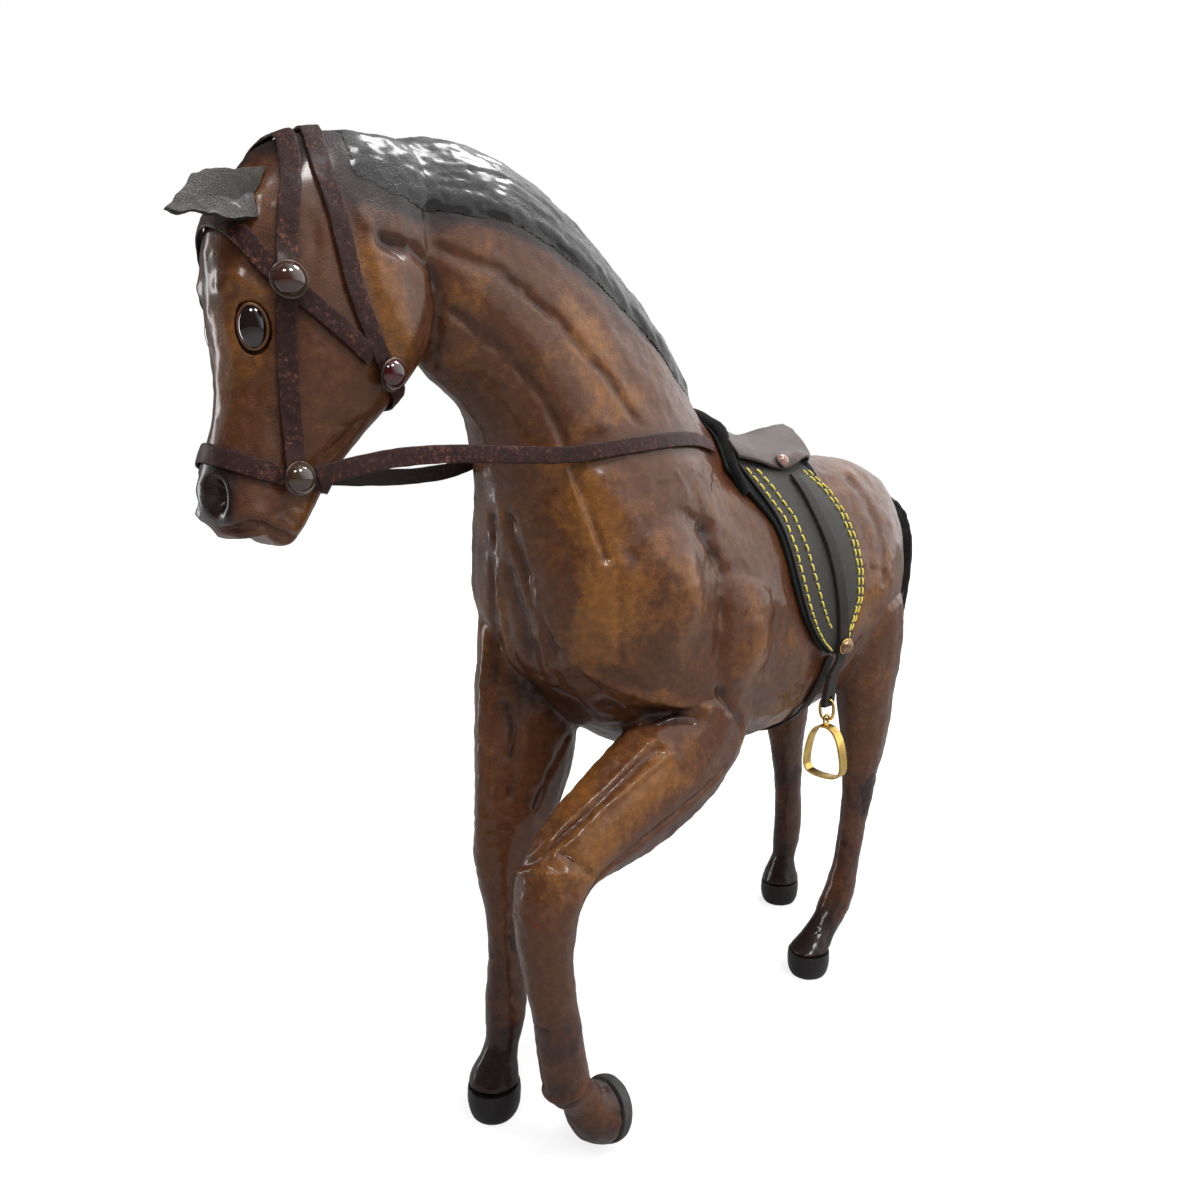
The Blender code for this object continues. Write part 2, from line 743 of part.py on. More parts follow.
def build_head(forms):
    sockets = []
    for label, side in (("left", 1), ("right", -1)):
        add_part("eye_" + label, eye_mesh("eye_" + label, side, 0), "glass")
        sockets.append(add_cutter("eye_socket_" + label, eye_mesh("eye_socket_" + label, side, SEAM)))
    hide = add_part("head_hide", forms["head"].data.copy(), "hide")
    smooth(hide)
    make_shell(hide)
    cut(hide, forms["dowel_bore"], *sockets)
    core = add_part("head_core", core_mesh("head_core", forms["head"].data, forms["head"]), "core")
    cut(core, forms["dowel_bore"], *sockets)
    for label, corners in EARS.items():
        root_top, root_bottom, tip_bottom, tip_top = [Vector(corner) * MM for corner in corners]
        facing = Vector(EAR_FACING[label]).normalized()
        grid = []
        for share in (0, 0.3, 0.55, 0.8, 1):
            top = root_top.lerp(tip_top, share)
            bottom = root_bottom.lerp(tip_bottom, share)
            hollow = facing * (EAR_CUP * MM * math.sin(math.pi * min(1, 0.3 + share)))
            grid.append([top, top.lerp(bottom, 0.5) - hollow, bottom])
        ways = [[facing] * 3 for _ in grid]
        ear = add_part("ear_" + label, slab("ear_" + label, grid, thicken(grid, ways, EAR_THICKNESS)), "hide")
        cut(ear, forms["head_space"])


def build_legs(forms):
    for leg, stations in LEGS.items():
        way = Vector(HOOF_WAYS[leg]).normalized()
        rings = limb_rings(stations, LEG_SIDES, way)
        tube = loft("leg_hide_" + leg, rings, first_cap=False, last_cap=False)
        skin = add_cutter("leg_form_" + leg, tube.copy())
        smooth(skin)
        hide = add_part("leg_hide_" + leg, tube, "hide")
        smooth(hide)
        make_shell(hide)
        cut(hide, forms["body_space"])
        cage = loft("leg_core_" + leg, rings)
        core = add_part("leg_core_" + leg, core_mesh("leg_core_" + leg, cage, skin), "core")
        add_part("hoof_" + leg, hoof_mesh("hoof_" + leg, stations[-1], way, 0), "black")
        hoof_space = add_cutter("hoof_space_" + leg, hoof_mesh("hoof_space_" + leg, stations[-1], way, SEAM))
        cut(hide, hoof_space)
        cut(core, forms["body_space"], forms["bore_" + leg], hoof_space)


def hoof_mesh(name, station, way, spare):
    """A cap under the leg, flat at the sole, and larger all round by the spare."""
    centre, across, depth = station
    across += spare / MM
    depth += spare / MM
    top = Vector(centre) * MM + way * (SEAM - spare)
    forward = way.cross(Vector((1, 0, 0))).normalized()
    side = forward.cross(way).normalized()
    height = top.z if way.z == -1 else RAISED_HOOF_LENGTH + spare
    rings = []
    for share, flare in HOOF_BOWL:
        rings.append(
            [
                top
                + way * (height * share)
                + side * (across * MM * flare * math.sin(math.pi * step / 7))
                + forward * (depth * MM * flare * math.cos(math.pi * step / 7))
                for step in range(14)
            ]
        )
    mesh = loft(name, rings)
    mesh.shade_flat()
    return mesh


def build_hair(forms):
    under = surface(forms["body"], forms["head"])
    spots = []
    ways = []
    for (crest_y, crest_z), edge in MANE:
        crest = Vector((0, crest_y, crest_z)) * MM
        middle = Vector((0, (crest_y + edge[1]) / 2, edge[2] - 7)) * MM
        row = []
        row_ways = []
        for step in range(-4, 5):
            end = side_point(edge, 1 if step > 0 else -1)
            share = abs(step) / 4
            way = (crest - middle).normalized().slerp((end - middle).normalized(), share)
            row.append(middle + way * (end - middle).length)
            row_ways.append(way)
        spots.append(row)
        ways.append(row_ways)
    grid = drop(under, spots, ways, LAY, 0.02)
    add_part("mane", slab("mane", grid, thicken(grid, ways, MANE_THICKNESS)), "black")
    rings = []
    points = resample([(0, y, z) for y, z in TAIL], 7)
    for index, point in enumerate(points):
        along = (points[min(index + 1, len(points) - 1)] - points[max(index - 1, 0)]).normalized()
        side = along.cross(Vector((1, 0, 0)))
        share = index / (len(points) - 1)
        wide = TAIL_WIDTH / 2 * (0.75 + 0.5 * math.sin(math.pi * min(1, share * 1.2)) * (1 - share * 0.4))
        deep = TAIL_THICKNESS / 2
        rings.append(
            [
                point + Vector((wide * math.cos(turn), 0, 0)) + side * (deep * math.sin(turn))
                for turn in [math.pi * step / 4 for step in range(8)]
            ]
        )
    tail = add_part("tail", loft("tail", rings), "black")
    cut(tail, forms["body_space"])


def stud(name, tree, place, way, radius, height, kind, reach=0.006):
    """A dome that sits on the outermost surface at a place."""
    foot = touch(tree, place, way, reach)
    side = way.orthogonal().normalized() * radius
    lift = 0
    for step in range(120):
        share = (0.2, 0.4, 0.6, 0.8, 1)[step % 5]
        rim = foot + Matrix.Rotation(step * math.pi / 12, 3, way) @ (side * share)
        hit = touch(tree, rim, way, 0.004)
        if hit is not None:
            lift = max(lift, (hit - rim).dot(way))
    foot = foot + way * (lift + SEAM)
    profile = [(0, 1), (0.36, 0.96), (0.68, 0.82), (0.9, 0.55), (1, 0.22), (1, 0), (0, 0)]
    mesh = bpy.data.meshes.new(name)
    mesh.from_pydata(
        [(radius * across, 0, height * up) for across, up in profile],
        [(index, index + 1) for index in range(len(profile) - 1)],
        [],
    )
    item = add_part(name, mesh, kind)
    item.location = foot
    item.rotation_euler = way.to_track_quat("Z", "Y").to_euler()
    modifier = item.modifiers.new("turn", "SCREW")
    modifier.steps = 12
    modifier.render_steps = 12
    modifier.use_merge_vertices = True
    modifier.merge_threshold = 0.00001
    return item


def build_bridle(forms):
    head = surface(forms["head"])
    under = surface(forms["head"], forms["body"])
    noseband = strap(
        "noseband",
        mirrored(NOSEBAND)[:-1],
        STRAP_WIDTH,
        STRAP_THICKNESS,
        "strap",
        head,
        under,
        closed=True,
    )
    throat = strap(
        "throatlatch",
        mirrored(THROATLATCH)[:-1],
        STRAP_WIDTH,
        STRAP_THICKNESS,
        "strap",
        head,
        under,
        closed=True,
    )
    brow = strap("browband", mirrored(BROWBAND), STRAP_WIDTH, STRAP_THICKNESS, "strap", head, under)
    under = surface(forms["head"], forms["body"], noseband, throat, brow)
    poll = strap("headpiece", mirrored(HEADPIECE), STRAP_WIDTH, STRAP_THICKNESS, "strap", head, under, spacing=3.4)
    neck = surface(forms["body"])
    under = surface(forms["head"], forms["body"], noseband, throat, brow, poll)
    for label, side, route in (("left", 1, REIN_LEFT), ("right", -1, REIN_RIGHT)):
        free = resample([(x * side, y, z) for x, y, z in route], 9)
        laid = resample([(x * side, y, z) for x, y, z in REIN_ON_NECK], 7)
        ways = [Vector((side, 0, 0)) for _ in free] + [outward(neck, point) for point in laid]
        spots, grid_ways = band_rows(free + laid, ways, REIN_WIDTH)
        first = len(free)
        grid = spots[:first] + drop(under, spots[first:], grid_ways[first:], LAY, 0.006)
        grid = lift_clear(under, grid, grid_ways, LAY, 0.004)
        name = "rein_" + label
        add_part(name, slab(name, grid, thicken(grid, grid_ways, REIN_THICKNESS)), "strap")
    for label, side in (("left", 1), ("right", -1)):
        for place, title in ((BROW_STUD, "brow"), (THROAT_STUD, "throat"), (BIT_STUD, "bit")):
            spot = side_point(place, side)
            name = "stud_" + title + "_" + label
            stud(name, under, spot, outward(head, spot), STUD_RADIUS, STUD_HEIGHT, "black")


def round_trunk(angle, y, distance=0.055):
    """A point beside the trunk at an angle from its top, and the direction outwards there."""
    way = Vector((math.sin(math.radians(angle)), 0, math.cos(math.radians(angle))))
    return Vector((0, y, SADDLE_AXIS_Z)) * MM + way * distance, way


def trunk_grid(rows, columns):
    """Points and directions for rows of (angle, front y, back y)."""
    spots = []
    ways = []
    for angle, front, back in rows:
        row = []
        for step in range(columns):
            spot, way = round_trunk(angle, front + (back - front) * step / (columns - 1))
            row.append(spot)
        spots.append(row)
        ways.append([way] * columns)
    return spots, ways


def interpolate(table, value):
    for (start, first), (end, last) in zip(table, table[1:]):
        if value <= end:
            return first + (last - first) * (value - start) / (end - start)
    return table[-1][1]


def build_saddle(forms):
    under = surface(forms["body"])
    rows = [(-angle, front, back) for angle, front, back in reversed(PAD[1:])] + PAD
    spots, ways = trunk_grid(rows, 5)
    grid = drop(under, spots, ways, LAY, 0.06)
    pad = add_part("saddle_pad", slab("saddle_pad", grid, thicken(grid, ways, PAD_THICKNESS)), "black")
    laid = [forms["body"], pad]
    under = surface(*laid)
    for label, side in (("left", 1), ("right", -1)):
        spots, ways = trunk_grid([(side * angle, front, back) for angle, front, back in FLAP], 5)
        grid = drop(under, spots, ways, LAY, 0.06)
        name = "saddle_flap_" + label
        laid.append(add_part(name, slab(name, grid, thicken(grid, ways, FLAP_THICKNESS)), "flap"))
    under = surface(*laid)
    spots = []
    ways = []
    shares = [-1, -0.82, -0.58, -0.3, 0, 0.3, 0.58, 0.82, 1]
    for y, spread, _ in SEAT:
        pairs = [round_trunk(spread * share, y) for share in shares]
        spots.append([spot for spot, _ in pairs])
        ways.append([way for _, way in pairs])
    low = drop(under, spots, ways, 2 * LAY, 0.06)
    high = []
    for (_, _, rise), row, row_ways in zip(SEAT, low, ways):
        lifted = []
        for share, spot, way in zip(shares, row, row_ways):
            crown = math.cos(math.pi / 2 * min(1, abs(share) / 0.9)) ** 0.6
            lifted.append(spot + way * (SKIRT_THICKNESS + rise * MM * crown))
        high.append(lifted)
    seat = add_part("saddle_seat", slab("saddle_seat", low, high), "taupe")
    rows = []
    for step in range(15):
        share = step / 14
        angle = GIRTH_START + (360 - 2 * GIRTH_START) * share
        middle = GIRTH_Y[0] + (GIRTH_Y[1] - GIRTH_Y[0]) * math.sin(math.pi * share)
        half = GIRTH_WIDTH / MM / 2
        rows.append((angle, middle - half, middle + half))
    spots, ways = trunk_grid(rows, 2)
    grid = drop(surface(forms["body"]), spots, ways, LAY, 0.06)
    add_part("girth", slab("girth", grid, thicken(grid, ways, GIRTH_THICKNESS)), "strap")
    under = surface(*laid)
    for label, side in (("left", 1), ("right", -1)):
        hanging = build_stirrup_strap(label, side, under)
        top = surface(*laid, seat)
        for title, (angle, y), tree in (
            ("saddle_stud_", SADDLE_STUD_PLACE, top),
            ("flap_rivet_", RIVET_PLACE, surface(hanging)),
        ):
            spot, way = round_trunk(side * angle, y)
            spot = touch(tree, spot, way, 0.06)
            way = outward(tree, spot)
            stud(title + label, tree, spot, way, SADDLE_STUD_RADIUS, SADDLE_STUD_HEIGHT, "brass")


def build_stirrup_strap(label, side, under):
    """The leather down the flap, its hanging end, and the ring and stirrup that swing from it."""
    half = STIRRUP_STRAP_WIDTH / MM / 2
    first, last = STIRRUP_LEATHER[0][0], STIRRUP_LEATHER[-1][0]
    rows = []
    for step in range(14):
        angle = first + (last - first) * step / 13
        middle = interpolate(STIRRUP_LEATHER, angle)
        rows.append((side * angle, middle - half, middle + half))
    spots, ways = trunk_grid(rows, 2)
    grid = drop(under, spots, ways, LAY, 0.06)
    plumb = Vector((side, 0, 0))
    outer = thicken(grid, ways, STIRRUP_STRAP_THICKNESS)
    height = min(point.z for point in outer[-1])
    end = height - STRAP_DROP
    y = STIRRUP_LEATHER[-1][1]
    for share, inside, spread, thick in STRAP_HANG:
        level = height - STRAP_DROP * share
        row = [Vector((side * inside * MM, (y - share + sign * spread) * MM, level)) for sign in (-1, 1)]
        grid.append(row)
        outer.append([point + plumb * thick * MM for point in row])
    name = "stirrup_strap_" + label
    hanging = add_part(name, slab(name, grid, outer), "strap")
    middle = STRAP_HANG[-1][1] + STRAP_HANG[-1][3] / 2
    eyelet = Vector((side * middle, y - 1, 0)) * MM + Vector((0, 0, end + EYELET_INSET))
    hole = rod_mesh("eyelet_" + label, eyelet - plumb * 0.003, eyelet + plumb * 0.003, EYELET_RADIUS, 12)
    cut(hanging, add_cutter("eyelet_" + label, hole))
    build_stirrup(label, eyelet)
    return hanging


def build_stirrup(label, eyelet):
    """The ring through the eyelet, which swings about it, and the stirrup that swings about the ring."""
    wide = RING_WIDTH / 2 - RING_WIRE
    tall = RING_HEIGHT / 2 - RING_WIRE
    turns = [2 * math.pi * step / 16 for step in range(16)]
    points = [
        Vector((wide * power(math.sin(turn), 0.8), 0, tall * power(math.cos(turn), 0.8) - tall))
        for turn in turns
    ]
    name = "jump_ring_" + label
    ring = add_part(name, wire_loop(name, points, Vector((0, 1, 0)), RING_WIRE), "brass")
    ring.location = eyelet
    outline = STIRRUP_OUTLINE + [(-x, z) for x, z in reversed(STIRRUP_OUTLINE[1:-1])]
    rings = []
    count = len(outline)
    for index in range(count):
        here = Vector((outline[index][0], 0, outline[index][1])) * MM
        before = Vector((outline[index - 1][0], 0, outline[index - 1][1])) * MM
        after = outline[(index + 1) % count]
        after = Vector((after[0], 0, after[1])) * MM
        out = (after - before).cross(Vector((0, 1, 0))).normalized() * (STIRRUP_WALL / 2)
        half = Vector((0, STIRRUP_BAND / 2, 0))
        rings.append([here - half - out, here + half - out, here + half + out, here - half + out])
    name = "stirrup_" + label
    mesh = loft(name, rings, closed=True)
    mesh.shade_flat()
    stirrup = add_part(name, mesh, "brass")
    stirrup.location = eyelet - Vector((0, 0, 2 * tall))
    points = [Vector((0, EYE_RADIUS * math.sin(turn), EYE_RADIUS * math.cos(turn))) for turn in turns]
    loop = add_cutter("stirrup_eye_" + label, wire_loop("eye", points, Vector((1, 0, 0)), EYE_WIRE))
    loop.location = stirrup.location
    modifier = stirrup.modifiers.new("eye", "BOOLEAN")
    modifier.operation = "UNION"
    modifier.solver = "EXACT"
    modifier.object = loop


def centre_on_ground():
    """Moves everything so that the middle of its box stands on the origin."""
    low = Vector((1, 1, 1))
    high = -low
    bpy.context.view_layer.update()
    graph = bpy.context.evaluated_depsgraph_get()
    for item in PARTS.objects:
        shape = item.evaluated_get(graph)
        for vertex in shape.to_mesh().vertices:
            spot = shape.matrix_world @ vertex.co
            low = Vector(map(min, low, spot))
            high = Vector(map(max, high, spot))
        shape.to_mesh_clear()
    ORIGIN.location = Vector((-(low.x + high.x) / 2, -(low.y + high.y) / 2, -low.z))


clear_scene()
PARTS = make_collection("leather_horse_figurine")
CUTTERS = make_collection("cutters")
ORIGIN = bpy.data.objects.new("origin", None)
bpy.context.scene.collection.objects.link(ORIGIN)

FORMS = build_forms()
build_armature(FORMS)
build_body(FORMS)
build_head(FORMS)
build_legs(FORMS)
build_hair(FORMS)
build_bridle(FORMS)
build_saddle(FORMS)
centre_on_ground()
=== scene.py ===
"""The looks of the leather covered horse figurine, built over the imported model.

Lengths in the tables are in millimetres of the modelling frame: the horse faces -Y, its left
side is +X, and z = 0 is the ground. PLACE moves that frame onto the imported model's.
"""

import math
from contextlib import contextmanager

import bmesh
import bpy
import numpy as np
from mathutils import Matrix, Vector, noise
from mathutils.bvhtree import BVHTree

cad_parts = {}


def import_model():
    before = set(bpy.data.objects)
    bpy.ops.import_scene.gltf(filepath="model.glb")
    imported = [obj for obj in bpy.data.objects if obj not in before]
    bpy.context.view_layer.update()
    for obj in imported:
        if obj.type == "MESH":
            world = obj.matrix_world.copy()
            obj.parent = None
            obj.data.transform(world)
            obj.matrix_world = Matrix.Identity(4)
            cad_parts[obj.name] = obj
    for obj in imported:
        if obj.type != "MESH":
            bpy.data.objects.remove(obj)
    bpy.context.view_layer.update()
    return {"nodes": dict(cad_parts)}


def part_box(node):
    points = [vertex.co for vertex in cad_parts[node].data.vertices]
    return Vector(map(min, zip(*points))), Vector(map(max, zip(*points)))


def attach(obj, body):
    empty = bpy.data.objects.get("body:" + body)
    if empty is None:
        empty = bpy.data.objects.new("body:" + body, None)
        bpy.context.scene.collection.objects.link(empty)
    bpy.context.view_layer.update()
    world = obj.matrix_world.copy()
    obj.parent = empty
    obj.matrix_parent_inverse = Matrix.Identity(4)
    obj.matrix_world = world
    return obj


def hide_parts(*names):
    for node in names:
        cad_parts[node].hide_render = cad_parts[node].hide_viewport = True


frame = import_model()

MM = 0.001
PLACE = Vector((0, -0.0783974, 0))
LEGS = ("front_right", "front_left", "hind_left", "hind_right")
SIDES = (("left", 1), ("right", -1))
HIDES = ["body_hide", "head_hide", *("leg_hide_" + leg for leg in LEGS)]
CORES = [hide.replace("hide", "core") for hide in HIDES]

MERGE = 1e-6  # points nearer than this are one
VOXEL = 0.00078  # cells of the skin's remesh; coarser ones open holes in the legs
SOFTEN = 24  # rounds of smoothing after it
THIN = 0.54  # share of the skin's triangles that is kept, for under 200,000 in its largest piece
EVEN_ROUNDS, HOLLOW_ROUNDS, MANE_ROUNDS = 70, 30, 26  # rounds of evening out values on the skin
HOLLOW_DEPTH = 0.0012  # depth under the evened skin that is darkened in full, as painted shade
CORE_DRAW = 0.0022
# Distances from the straps, eyes and mane: nothing up to the first, in full past the second
STRAP_REACH, EYE_REACH, MANE_REACH = (0.0012, 0.0055), (0.0006, 0.003), (0.0008, 0.006)

# Forms of the hide: height along the surface's normal, radius, both sides or not, points
FORMS = [
    (1.3, 7, 1, [(15, -20, 265), (18, 0, 249), (23, 13, 229), (28, 20, 207)]),
    (5.2, 11.5, 1, [(37, 35, 186), (37, 36, 177)]),
    (4.0, 11, 1, [(38, 76, 171), (37, 72, 157)]),
    (-1.0, 6, 1, [(37, 55, 196), (38, 57, 180), (38, 56, 160)]),
    (1.2, 9, 1, [(34, 48, 216), (32, 60, 214)]),
    (1.0, 10, 1, [(24, 6, 196), (25, 6, 176)]),
    (2.0, 14, 1, [(34, 176, 190), (36, 172, 170)]),
    (1.5, 12, 1, [(36, 140, 176), (36, 146, 160)]),
    (-1.6, 10, 1, [(36, 128, 190), (34, 126, 205)]),
    (1.4, 6, 1, [(16, -58, 276), (17, -50, 262), (16, -44, 252)]),
    (1.0, 4, 1, [(13, -80, 262), (15, -76, 258)]),
    (-0.9, 4, 1, [(17, -66, 271), (16, -70, 266)]),
    (0.8, 3.5, 1, [(15, -70, 244), (13, -74, 232), (11, -78, 222)]),
    (2.0, 4, 0, [(-4, -72, 199.5), (4, -72, 199.5)]),
    (-2.4, 3, 0, [(-9, -78, 199.4), (9, -78, 199.4)]),
    (1.0, 4, 0, [(-5, -85, 201.5), (5, -85, 201.5)]),
    (1.6, 9, 0, [(-12, 3, 90), (-12, 5, 84)]),
    (-0.8, 8, 0, [(-12.5, 8.5, 68), (-12.8, 8.7, 58)]),
    (1.4, 6.5, 0, [(-11.8, 7, 35), (-11.6, 6.4, 32)]),
    (-1.2, 6, 0, [(-10.9, 4.4, 21.5), (-10.9, 4, 20)]),
    (1.5, 9, 0, [(27, -9, 97), (27, -9, 90)]),
    (-0.7, 8, 0, [(27, -8, 70), (27.5, -5.5, 58)]),
    (1.4, 7, 0, [(20, 171, 31), (20, 170, 27)]),
    (-1.3, 6, 0, [(19, 160, 17.5), (18.7, 157, 15.5)]),
    (1.4, 7, 0, [(-27.6, 202, 36), (-27.8, 201.6, 32)]),
    (-1.3, 6, 0, [(-28.4, 199.8, 22), (-28.5, 199.4, 20)]),
    (1.3, 9, 1, [(24, 196, 108), (24, 197, 98)]),
    (-1.0, 9, 1, [(25, 186, 80), (25, 184, 68)]),
    (1.4, 11, 1, [(31, 186, 150), (30, 190, 136)]),
    (1.0, 10, 1, [(24, 176, 126), (24, 178, 116)]),
]

